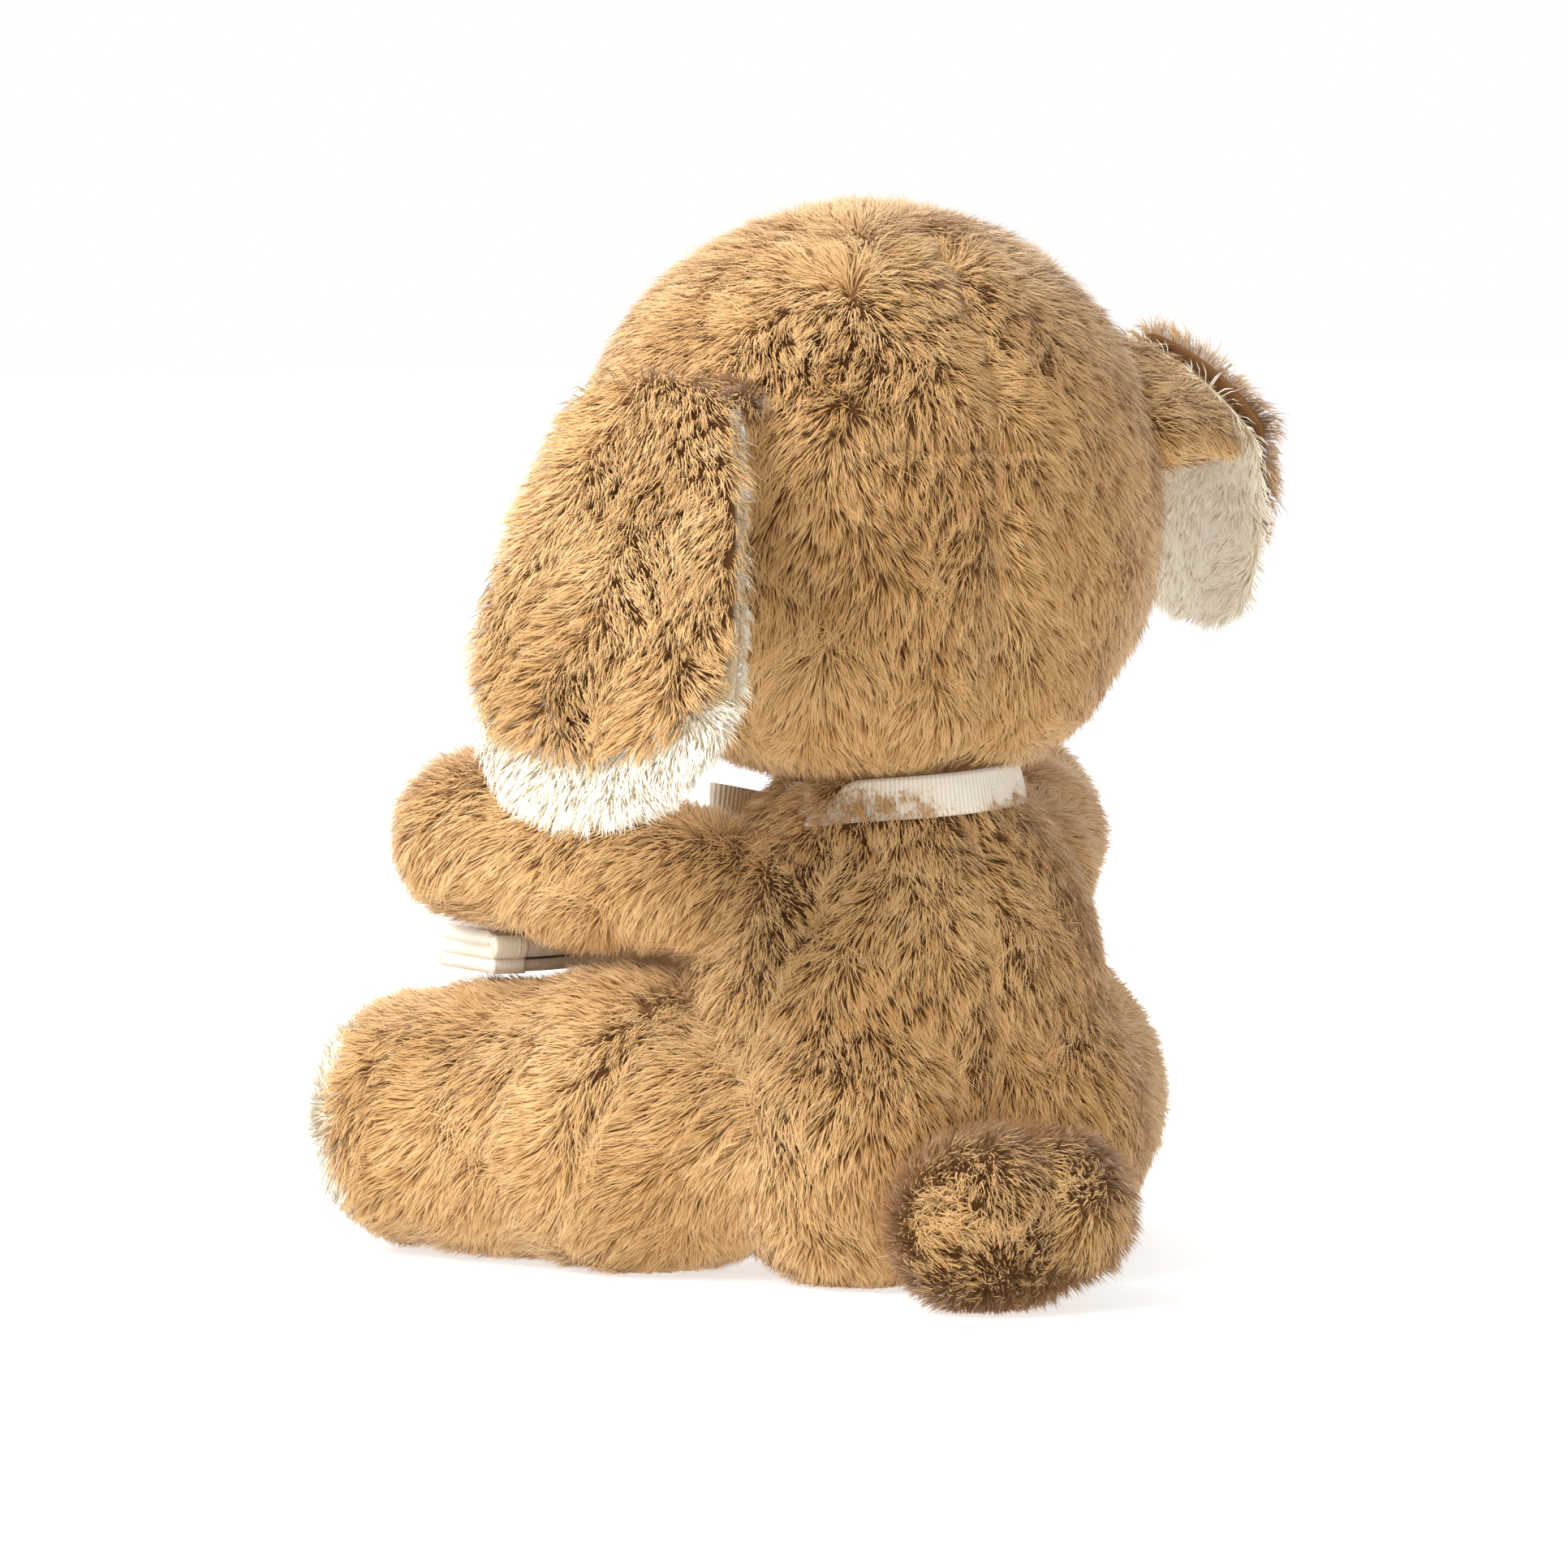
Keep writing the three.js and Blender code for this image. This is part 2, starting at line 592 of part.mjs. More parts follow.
/** The folded blanket across the lap: a rounded bar along X, with a satin binding folded over each end. */
function blanketPieces() {
  const bar = (from, to) => {
    const half = blanket.depth / 2;
    const thick = blanket.thickness / 2;
    const outline = new THREE.Shape();
    outline.moveTo(-half + blanket.corner, -thick);
    outline.lineTo(half - blanket.corner, -thick);
    outline.quadraticCurveTo(half, -thick, half, 0);
    outline.quadraticCurveTo(half, thick, half - blanket.corner, thick);
    outline.lineTo(-half + blanket.corner, thick);
    outline.quadraticCurveTo(-half, thick, -half, 0);
    outline.quadraticCurveTo(-half, -thick, -half + blanket.corner, -thick);
    const geometry = new THREE.ExtrudeGeometry(outline, { depth: to - from, bevelEnabled: false, curveSegments: 4 });
    geometry.rotateX(Math.PI / 2);
    geometry.rotateZ(Math.PI / 2);
    return geometry.translate(from, -blanketForward, blanketAt);
  };
  const end = blanket.width / 2;
  const inner = end - blanket.binding;
  return [
    piece("blanket_panel", bar(-inner + gap, inner - gap), cream),
    piece("blanket_binding_left", bar(inner, end), satin),
    piece("blanket_binding_right", bar(-end, -inner), satin),
  ];
}

// ---------------------------------------------------------------- the dog

const dog = new THREE.Group();
dog.add(...torsoPieces());
dog.add(neckStuffing());
dog.add(...headPieces());
dog.add(ribbonPieces(), ...bowPieces());
for (const name of Object.keys(sides)) {
  dog.add(earGroup(name));
  dog.add(...armPieces(name));
  dog.add(...legPieces(name));
}
dog.add(...tailPieces());
dog.add(...blanketPieces());

const bounds = new THREE.Box3().setFromObject(dog, true);
const middle = bounds.getCenter(new THREE.Vector3());
dog.position.set(-middle.x, -middle.y, -bounds.min.z);

export default dog;
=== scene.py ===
"""Seated plush puppy with cream-lined ears, a ribbon collar and a folded comfort blanket.

Metres. +Z is up, the dog faces -Y and its left side is +X. Sizes written as n * MM.
Every stuffed sack is a smooth skin with a real pile of tapered hairs growing out of it.
"""

import json
import math

import bpy
import numpy as np
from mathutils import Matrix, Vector


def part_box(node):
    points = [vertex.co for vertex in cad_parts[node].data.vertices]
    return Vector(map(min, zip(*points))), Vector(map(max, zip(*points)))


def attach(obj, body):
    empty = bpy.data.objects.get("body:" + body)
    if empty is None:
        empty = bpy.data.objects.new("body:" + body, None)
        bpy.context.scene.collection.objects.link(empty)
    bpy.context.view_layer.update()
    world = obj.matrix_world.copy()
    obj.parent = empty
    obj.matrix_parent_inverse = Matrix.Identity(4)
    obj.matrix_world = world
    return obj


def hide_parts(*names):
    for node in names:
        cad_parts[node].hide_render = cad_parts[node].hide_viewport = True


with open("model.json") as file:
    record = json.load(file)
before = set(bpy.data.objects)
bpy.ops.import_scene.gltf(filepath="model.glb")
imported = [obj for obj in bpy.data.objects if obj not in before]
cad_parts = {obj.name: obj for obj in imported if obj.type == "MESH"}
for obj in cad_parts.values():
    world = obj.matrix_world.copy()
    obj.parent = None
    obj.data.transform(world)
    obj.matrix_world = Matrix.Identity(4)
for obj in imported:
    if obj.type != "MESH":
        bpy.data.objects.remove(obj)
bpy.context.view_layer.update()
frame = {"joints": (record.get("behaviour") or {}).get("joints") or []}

MM = 0.001
UP = np.array([0.0, 0.0, 1.0])
SIDES = {"left": 1, "right": -1}

joints = {joint["name"]: joint for joint in frame["joints"]}


def joint_at(name):
    return np.array(joints[name]["pos_m"])


# The middle of the body, on the surface that it sits on.
BODY_AXIS = joint_at("head_turn") * [1, 1, 0] + [0, 12 * MM, 0]


def spot(x, y, z):
    """A place given in millimetres from the middle of the body."""
    return BODY_AXIS + np.array([x, y, z]) * MM


# ---------------- numbers on arrays


def unit(v):
    return v / np.maximum(np.linalg.norm(v, axis=-1, keepdims=True), 1e-12)


def lying_on(v, out):
    """The part of v that lies flat on a surface, from the way out of the surface."""
    return v - out * np.einsum("ij,ij->i", v, out)[:, None]


def smoothstep(low, high, x):
    t = np.clip((x - low) / (high - low), 0, 1)
    return t * t * (3 - 2 * t)


class Ripple:
    """Soft noise: the mean of many plane waves of about one length, in random directions."""

    def __init__(self, size, seed, waves=18):
        rng = np.random.default_rng(seed)
        ways = unit(rng.normal(size=(waves, 3)))
        self.k = ways * (2 * np.pi / size) * rng.uniform(0.6, 1.4, (waves, 1))
        self.phase = rng.uniform(0, 2 * np.pi, waves)
        self.gain = math.sqrt(2 / waves)
        self.size = size

    def value(self, p):
        return np.sin(p @ self.k.T + self.phase).sum(-1) * self.gain

    def slope(self, p):
        """The gradient, times the wave length, so that it is about one."""
        return (np.cos(p @ self.k.T + self.phase) @ self.k) * self.gain * self.size / 6


# ---------------- solid shapes as distances


def egg(p, centre, radii):
    """About the distance to an ellipsoid of radii in millimetres.

    It is k0 (k0 - 1) / k1, where k0 = |p / r| and k1 = |p / r^2|.
    """
    radii = np.array(radii) * MM
    q = (p - centre) / radii
    k0 = np.linalg.norm(q, axis=-1)
    k1 = np.linalg.norm(q / radii, axis=-1)
    return k0 * (k0 - 1) / np.maximum(k1, 1e-9)


def bar(p, start, way, length, r0, r1):
    """The distance to a round bar whose radius goes from r0 to r1 along its length."""
    along = np.clip(((p - start) @ way) / length, 0, 1)
    nearest = start + along[..., None] * way * length
    return np.linalg.norm(p - nearest, axis=-1) - (r0 + (r1 - r0) * along)


def blend(a, b, width):
    """The lower of two distances, with a rounded valley of a width between the shapes."""
    h = np.clip(0.5 + 0.5 * (b - a) / width, 0, 1)
    return b + (a - b) * h - width * h * (1 - h)


def above_floor(p, distance, height, soft):
    """A shape cut flat at a height, with a soft edge."""
    return -blend(-distance, p[..., 2] - height, soft)


# ---------------- meshes


class Skin:
    """A closed surface: points of a grid, triangles, and the way out at each point."""

    def __init__(self, grid):
        rows, columns = grid.shape[:2]
        inner = grid[1:-1].reshape(-1, 3)
        self.points = np.vstack([grid[0, :1], inner, grid[-1, :1]])
        r = np.arange(rows - 3)[:, None] * columns + 1
        c = np.arange(columns)
        n = (c + 1) % columns
        a, b, d, e = r + c, r + n, r + columns + c, r + columns + n
        last = (rows - 3) * columns + 1
        caps = [
            np.stack([np.zeros_like(c), n + 1, c + 1], -1),
            np.stack([last + c, last + n, np.full_like(c, len(self.points) - 1)], -1),
        ]
        tris = np.vstack([
            caps[0],
            np.stack([a, b, e], -1).reshape(-1, 3),
            np.stack([a, e, d], -1).reshape(-1, 3),
            caps[1],
        ])
        p = self.points[tris]
        volume = np.einsum("ij,ij->i", p[:, 0], np.cross(p[:, 1], p[:, 2])).sum()
        self.tris = tris if volume > 0 else tris[:, ::-1]
        self.normals = self.ways_out()

    def ways_out(self):
        p = self.points[self.tris]
        face = np.cross(p[:, 1] - p[:, 0], p[:, 2] - p[:, 0])
        total = np.zeros_like(self.points)
        for corner in range(3):
            for axis in range(3):
                total[:, axis] += np.bincount(self.tris[:, corner], face[:, axis], len(total))
        return unit(total)

    def scatter(self, count, rng):
        """Random places, even over the area, each with its way out."""
        area = self.areas()
        chosen = rng.choice(len(area), count, p=area / area.sum())
        u, v = rng.random((2, count))
        flip = u + v > 1
        u, v = np.where(flip, 1 - u, u), np.where(flip, 1 - v, v)
        weights = np.stack([1 - u - v, u, v], -1)[..., None]
        where = (self.points[self.tris[chosen]] * weights).sum(1)
        out = (self.normals[self.tris[chosen]] * weights).sum(1)
        return where, unit(out)

    def areas(self):
        """The area of each triangle."""
        p = self.points[self.tris]
        return np.linalg.norm(np.cross(p[:, 1] - p[:, 0], p[:, 2] - p[:, 0]), axis=1) / 2


def sphere_grid(rows, columns):
    """Directions round a sphere, from the pole at +Z to the pole at -Z."""
    down = np.linspace(0, np.pi, rows)[:, None]
    round_ = np.linspace(0, 2 * np.pi, columns, endpoint=False)[None, :]
    return np.stack(
        [np.sin(down) * np.cos(round_), np.sin(down) * np.sin(round_), np.cos(down) + 0 * round_], -1
    )


def puffed(centre, distance, reach, rows=90, columns=120):
    """Where rays from a centre leave a shape: from outside, each steps inwards by its distance to it."""
    ways = sphere_grid(rows, columns)
    t = np.full(ways.shape[:2], reach)
    for _ in range(60):
        t = t - 0.8 * distance(centre + ways * t[..., None])
    return Skin(centre + ways * t[..., None])


def new_object(name, points, loops, sizes, smooth=True):
    """A mesh from flat arrays: its points, the corners of all faces, and each face's corner count."""
    mesh = bpy.data.meshes.new(name)
    mesh.vertices.add(len(points))
    mesh.vertices.foreach_set("co", np.ascontiguousarray(points, np.float32).ravel())
    mesh.loops.add(len(loops))
    mesh.loops.foreach_set("vertex_index", np.ascontiguousarray(loops, np.int32).ravel())
    starts = np.concatenate([[0], np.cumsum(sizes)[:-1]])
    mesh.polygons.add(len(sizes))
    mesh.polygons.foreach_set("loop_start", starts.astype(np.int32))
    mesh.polygons.foreach_set("use_smooth", np.full(len(sizes), smooth))
    mesh.update(calc_edges=True)
    mesh.validate()
    thing = bpy.data.objects.new(name, mesh)
    bpy.context.scene.collection.objects.link(thing)
    return thing


def add_value(thing, name, values):
    """A number at each point, for the material to read."""
    layer = thing.data.attributes.new(name, "FLOAT", "POINT")
    layer.data.foreach_set("value", np.ascontiguousarray(values, np.float32))


def dress(thing, body, material, nodes=()):
    """Gives a piece its material and slot, the body that it rides and the nodes that it stands for."""
    thing.data.materials.append(material)
    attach(thing, body)
    if nodes:
        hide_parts(*nodes)


def skin_object(name, skin, body, material, nodes=()):
    thing = new_object(name, skin.points, skin.tris.ravel(), np.full(len(skin.tris), 3))
    dress(thing, body, material, nodes)
    return thing


# ---------------- materials


class Socket:
    """One output of a shader node, with sums written as Python."""

    def __init__(self, paint, socket):
        self.paint, self.socket = paint, socket

    def _sum(self, operation, other):
        return self.paint.node("ShaderNodeMath", {"operation": operation}, {0: self, 1: other})

    def __add__(self, other):
        return self._sum("ADD", other)

    def __mul__(self, other):
        return self._sum("MULTIPLY", other)

    def __sub__(self, other):
        return self._sum("SUBTRACT", other)


class Paint:
    """A material and its nodes."""

    def __init__(self, name, roughness=0.8, **fixed):
        self.material = bpy.data.materials.new(name)
        self.material.use_nodes = True
        self.tree = self.material.node_tree
        self.shader = self.tree.nodes["Principled BSDF"]
        self.shader.inputs["Roughness"].default_value = roughness
        for label, value in fixed.items():
            self.shader.inputs[label.replace("_", " ").title()].default_value = value

    def node(self, kind, settings=None, values=None, output=0):
        made = self.tree.nodes.new(kind)
        for key, value in (settings or {}).items():
            if key == "stops":
                self.fill_ramp(made.color_ramp, value)
            else:
                setattr(made, key, value)
        for key, value in (values or {}).items():
            if isinstance(value, Socket):
                self.tree.links.new(value.socket, made.inputs[key])
            else:
                made.inputs[key].default_value = value
        return Socket(self, made.outputs[output])

    @staticmethod
    def fill_ramp(ramp, stops):
        while len(ramp.elements) < len(stops):
            ramp.elements.new(0.5)
        for element, (place, colour) in zip(ramp.elements, stops):
            element.position, element.color = place, (*colour, 1)

    def value(self, name):
        return self.node("ShaderNodeAttribute", {"attribute_name": name}, output="Fac")

    def place(self):
        return self.node("ShaderNodeTexCoord", output="Object")

    def noise(self, scale, detail=3.0, roughness=0.55, vector=None):
        values = {"Scale": scale, "Detail": detail, "Roughness": roughness}
        values["Vector"] = vector or self.place()
        return self.node("ShaderNodeTexNoise", None, values)

    def mix(self, factor, a, b, blend_type="MIX"):
        settings = {"data_type": "RGBA", "blend_type": blend_type, "clamp_factor": True}
        def colour(value):
            return value if isinstance(value, Socket) else (*value, 1)
        values = {0: factor, 6: colour(a), 7: colour(b)}
        return self.node("ShaderNodeMix", settings, values, output=2)

    def ramp(self, factor, stops):
        return self.node("ShaderNodeValToRGB", {"stops": stops}, {0: factor})

    def feed(self, label, socket):
        self.tree.links.new(socket.socket, self.shader.inputs[label])
        return self

    def bump(self, height, distance, strength=1.0):
        values = {"Height": height, "Distance": distance, "Strength": strength}
        return self.feed("Normal", self.node("ShaderNodeBump", None, values))


def linear(red, green, blue):
    """A colour as a monitor shows it, from 0 to 255, as light."""
    c = np.array([red, green, blue]) / 255
    return tuple(float(v) for v in np.where(c <= 0.04045, c / 12.92, ((c + 0.055) / 1.055) ** 2.4))


PILE_GLOW = 0.1  # a faint glow of its own stands for the light that thin hairs let through


def pile_paint(name, deep, middle, tip, patch):
    """Hair painted dark at its root, as painted shade deep in the pile, and pale at its tip, uneven from hair
    to hair and in soft patches.
    """
    paint = Paint(name, roughness=0.72, Sheen_Weight=0.35, Sheen_Roughness=0.45)
    paint.shader.inputs["Specular IOR Level"].default_value = 0.25
    along = paint.value("along") + (paint.value("tone") - 0.5) * 0.42
    # Painted shade: the ramp darkens each hair from its tip down to its root.
    hair = paint.ramp(along, [(0.0, deep), (0.45, middle), (1.0, tip)])
    cloud = paint.noise(26.0, 2.0)
    spread = paint.ramp(cloud, [(0.35, (0, 0, 0)), (0.72, (1, 1, 1))])
    shade = paint.mix(spread, (1, 1, 1), patch)
    colour = paint.mix(1.0, hair, shade, "MULTIPLY")
    paint.shader.inputs["Emission Strength"].default_value = PILE_GLOW
    return paint.feed("Base Color", colour).feed("Emission Color", colour).material


def backing_paint(name, dark, light):
    """The knitted backing between the roots of the hairs: its grain is the knit, and its darkness is painted
    shade deep in the pile.
    """
    paint = Paint(name, roughness=0.95)
    grain = paint.noise(900.0, 4.0)
    paint.feed("Base Color", paint.mix(grain, dark, light))
    return paint.bump(grain, 0.3 * MM, 0.6).material


# The first colour of each pile is painted shade at the roots of its hairs; the middle and tip colours are the
# hair's own.
brown_pile = pile_paint(
    "brown_pile", linear(154, 110, 60), linear(197, 152, 94), linear(230, 195, 142), (0.92, 0.86, 0.77)
)
cream_pile = pile_paint(
    "cream_pile", linear(214, 196, 160), linear(250, 243, 224), linear(255, 253, 244), (0.97, 0.95, 0.9)
)
# The backings are painted darker than most of their hair, as painted shade between the roots.
brown_backing = backing_paint("brown_backing", linear(96, 62, 30), linear(132, 90, 48))
cream_backing = backing_paint("cream_backing", linear(206, 188, 152), linear(230, 216, 186))


# ---------------- pile

HAIR_LENGTH = 7.5 * MM
HAIRS_PER_SQUARE_MM = 2.9
HAIR_WIDTH = 0.32 * MM
MOST_HAIRS = 62000  # in one piece
LOCK_RIPPLES = [Ripple(3.4 * MM, 11), Ripple(7.5 * MM, 12)]
SWIRL = Ripple(34 * MM, 13, waves=10)
SWIRL_ACROSS = Ripple(26 * MM, 14, waves=10)
TONE = Ripple(9 * MM, 15)
PATCH = Ripple(30 * MM, 16, waves=10)


# Where the pile has been brushed the wrong way, and the same spots painted darker as painted shade: place,
# width, and how much it stands up and darkens.
RUFFLED_AND_SHADED = [
    (spot(33, 38, 168), 22 * MM, 1.0),
    (spot(38, 30, 214), 13 * MM, 0.6),
    (spot(96, 14, 157), 13 * MM, 0.75),
    (spot(98, 17, 134), 12 * MM, 0.6),
    (spot(47, 26, 80), 17 * MM, 0.55),
    (spot(40, 44, 44), 14 * MM, 0.35),
    (spot(86, -66, 44), 17 * MM, 0.45),
    (spot(-20, 50, 160), 18 * MM, 0.4),
]


def ruffle_and_shade(p):
    """How much the pile stands up at each place, from 0 to 1; the hairs there are painted that much darker,
    as painted shade.
    """
    most = sum(g * np.exp(-((np.linalg.norm(p - c, axis=1) / w) ** 2)) for c, w, g in RUFFLED_AND_SHADED)
    return np.clip(most + 0.16 * PATCH.value(p), 0, 1)


def hair_arrays(roots, out, flow, rng, length, lean, lock, width):
    """Five points of each hair: two at its root, two at its middle and one at its tip.

    A hair leaves along the way out and bends over towards the flow until its tip lies almost flat.
    Its tip is drawn up the slopes of two ripples, which gathers neighbours into locks.
    """
    count = len(roots)
    long = length * rng.uniform(0.72, 1.12, count)[:, None]
    angle = (lean * (1 - 0.42 * ruffle_and_shade(roots)) + rng.normal(0, 0.12, count))[:, None]
    stray = unit(rng.normal(size=(count, 3)))
    flat = np.minimum(angle * 1.36, 1.5)
    tip_way = out * np.cos(flat) + flow * np.sin(flat) + 0.16 * stray
    bend_way = out * np.cos(angle * 0.45) + flow * np.sin(angle * 0.45)
    draw = lying_on(sum(r.slope(roots) * g for r, g in zip(LOCK_RIPPLES, (0.5, 0.7))), out)
    start = roots - out * 0.4 * MM
    bend = roots + long * 0.55 * bend_way + lock * long * draw * 0.14
    tip = bend + long * 0.5 * unit(tip_way) + lock * long * draw * 0.3
    middle = 0.15 * start + 0.7 * bend + 0.15 * tip
    across = unit(np.cross(tip - start, out) + 0.5 * stray * np.linalg.norm(tip - start, axis=1)[:, None])
    half = (width * rng.uniform(0.7, 1.3, count) / 2)[:, None]
    five = np.stack([
        start - across * half, start + across * half,
        middle + across * half * 0.9, middle - across * half * 0.9,
        tip,
    ], 1)
    shine = unit(out + 0.2 * stray + 0.22 * UP)
    return five, shine


def grow(name, body, skin, paint, flow, seed, length=HAIR_LENGTH, lean=1.05, lock=0.5, keep=None):
    """Covers a skin with hairs that lie along a flow, in as many pieces as their number needs."""
    rng = np.random.default_rng(seed)
    density, width = HAIRS_PER_SQUARE_MM, HAIR_WIDTH
    roots, out = skin.scatter(int(skin.areas().sum() / MM**2 * density), rng)
    if keep is not None:
        kept = keep(roots, out)
        roots, out = roots[kept], out[kept]
    ways = flow(roots, out)
    swirl = SWIRL.slope(roots) + SWIRL_ACROSS.slope(roots)
    ways = unit(ways) + 0.35 * swirl + 0.12 * rng.normal(size=ways.shape)
    ways = unit(lying_on(ways, out))
    five, shine = hair_arrays(roots, out, ways, rng, length, lean, lock, width)
    five[..., 2] = np.maximum(five[..., 2], 0.4 * MM)
    # The tone differs at random from hair to hair and in patches, and is lowered where the pile stands up, as
    # painted shade.
    tone = 0.5 + 0.1 * TONE.value(roots) - 0.5 * ruffle_and_shade(roots) + rng.normal(0, 0.14, len(roots))
    cell = 4 * MM
    order = np.lexsort((roots[:, 0], np.floor(roots[:, 1] / cell), np.floor(roots[:, 2] / cell)))
    five, tone, shine = five[order], tone[order], shine[order]
    parts = max(1, math.ceil(len(five) / MOST_HAIRS))
    for index, chosen in enumerate(np.array_split(np.arange(len(five)), parts)):
        label = name if parts == 1 else f"{name}_{index + 1}"
        hair_object(label, body, five[chosen], tone[chosen], shine[chosen], paint)


def hair_object(name, body, five, tone, shine, paint):
    """One mesh of many hairs, each a four-cornered root and a three-cornered tip."""
    count = len(five)
    base = np.arange(count)[:, None] * 5
    loops = base + np.array([0, 1, 2, 3, 3, 2, 4])
    thing = new_object(name, five.reshape(-1, 3), loops.ravel(), np.tile([4, 3], count))
    add_value(thing, "along", np.tile([0.0, 0.0, 0.55, 0.55, 1.0], count))
    add_value(thing, "tone", np.repeat(tone, 5))
    side = math.ceil(math.sqrt(count))
    cells = np.stack([np.arange(count) % side, np.arange(count) // side], -1)[:, None, :]
    corner = np.array([[0.1, 0.05], [0.9, 0.05], [0.9, 0.55], [0.1, 0.55], [0.5, 0.98]])
    spots = ((cells + corner) / side)[:, [0, 1, 2, 3, 3, 2, 4]]
    layer = thing.data.uv_layers.new(name="OFBake")
    layer.uv.foreach_set("vector", np.ascontiguousarray(spots, np.float32).ravel())
    thing.data.normals_split_custom_set_from_vertices(np.repeat(shine, 5, 0))
    dress(thing, body, paint)


def towards(x, y, z):
    way = unit(np.array([x, y, z], float))
    return lambda roots, out: np.broadcast_to(way, roots.shape)


# ---------------- torso

hips = {side: joint_at(f"leg_{side}_splay") for side in SIDES}
shoulders = {side: joint_at(f"arm_{side}_swing") for side in SIDES}


def seam_dent(p, depth=1.8 * MM, width=3.2 * MM):
    """How far the seam down the middle of the back draws the skin in: a bell curve across it."""
    from_seam = p[..., 0] - BODY_AXIS[0]
    behind = smoothstep(-5 * MM, 15 * MM, p[..., 1] - BODY_AXIS[1])
    return depth * np.exp(-((from_seam / width) ** 2)) * behind


def torso_distance(p):
    """Belly, chest, nape and two rumps blended, flat underneath."""
    belly = egg(p, spot(0, -3, 42), (50.5, 46, 44))
    chest = egg(p, spot(0, -3, 80), (43.5, 39, 38))
    nape = egg(p, spot(0, 0, 104), (25, 25, 18))
    body = blend(blend(belly, chest, 24 * MM), nape, 12 * MM)
    for side in SIDES.values():
        rump = egg(p, spot(side * 21, 15, 35), (28, 31, 35))
        body = blend(body, rump, 4 * MM)
    return above_floor(p, body + seam_dent(p), 1.2 * MM, 6 * MM)


def limb_way(side, splay, rise):
    """The way a limb points: forward, turned outward by a splay and upward by a rise."""
    return np.array([
        side * math.sin(splay) * math.cos(rise), -math.cos(splay) * math.cos(rise), math.sin(rise),
    ])


def leg_way(side):
    return limb_way(side, math.radians(28.6), -math.atan(6 / 115))


LEG_END = 111 * MM  # from the hip to the sole


def leg_distance(p, name):
    """Thigh, shin and foot as three bars in line, cut across by the sole and flat underneath."""
    side, hip, way = SIDES[name], hips[name], leg_way(SIDES[name])
    thigh = bar(p, hip, way, 38 * MM, 25 * MM, 32 * MM)
    shin = bar(p, hip + way * 38 * MM, way, 38 * MM, 32 * MM, 27 * MM)
    foot = bar(p, hip + way * 76 * MM, way, 40 * MM, 27 * MM, 27 * MM)
    body = blend(blend(thigh, shin, 12 * MM), foot, 10 * MM)
    sole = (p - hip) @ way - LEG_END
    return above_floor(p, -blend(-body, -sole, 9 * MM), 1.2 * MM, 6 * MM)


def sole_distance(p, hip, way):
    """A round cushion across the end of a leg."""
    along = (p - hip) @ way
    round_ = np.linalg.norm(p - hip - along[..., None] * way, axis=-1)
    disc = np.hypot(np.maximum(round_ - 16 * MM, 0), (along - LEG_END + 1 * MM) * 1.1) - 7.5 * MM
    return above_floor(p, disc, 1.6 * MM, 3 * MM)


def arm_way(side):
    return limb_way(side, math.radians(30), math.radians(8))


def arm_distance(p, name):
    """Upper arm and paw as two bars in line."""
    way = arm_way(SIDES[name])
    upper = bar(p, shoulders[name], way, 34 * MM, 13.5 * MM, 15.5 * MM)
    paw = bar(p, shoulders[name] + way * 34 * MM, way, 32 * MM, 15.5 * MM, 17 * MM)
    return blend(upper, paw, 8 * MM)


def tail_distance(p):
    """A lump with its tip folded to one side, on a short stem, flat underneath."""
    root = joint_at("tail_wag")
    lump = egg(p, spot(19, 71, 20), (21, 16, 17.5))
    tip = egg(p, spot(3, 75, 23), (14, 13, 14))
    stem = bar(p, root, unit(np.array([0.4, 1.0, 0])), 14 * MM, 9 * MM, 12 * MM)
    body = blend(blend(lump, tip, 2.5 * MM), stem, 8 * MM)
    return above_floor(p, body, 1.2 * MM, 5 * MM)


def outside(distance, depth=9 * MM):
    """Keeps the hairs whose roots aren't buried deep in a neighbour."""
    return lambda roots, out: distance(roots) > -depth


torso = puffed(spot(0, 0, 52), torso_distance, 150 * MM, 120, 150)
skin_object(
    "torso_backing", torso, "torso", brown_backing,
    ["seat_panel", "belly_panel", "back_panel_left", "back_panel_right", "torso_stuffing", "pellet_bag"],
)


def torso_keep(roots, out):
    clear = np.ones(len(roots), bool)
    for name in SIDES:
        clear &= leg_distance(roots, name) > -9 * MM
        clear &= arm_distance(roots, name) > -6 * MM
    under = (roots[:, 2] < 2.2 * MM) & (torso_distance(roots + [0, 0, 6 * MM]) < -4 * MM)
    return clear & (tail_distance(roots) > -7 * MM) & ~under & (roots[:, 2] < 116 * MM)


grow("torso_pile", "torso", torso, brown_pile, towards(0, 0.15, -1), 21, keep=torso_keep)

# ---------------- legs, arms and tail

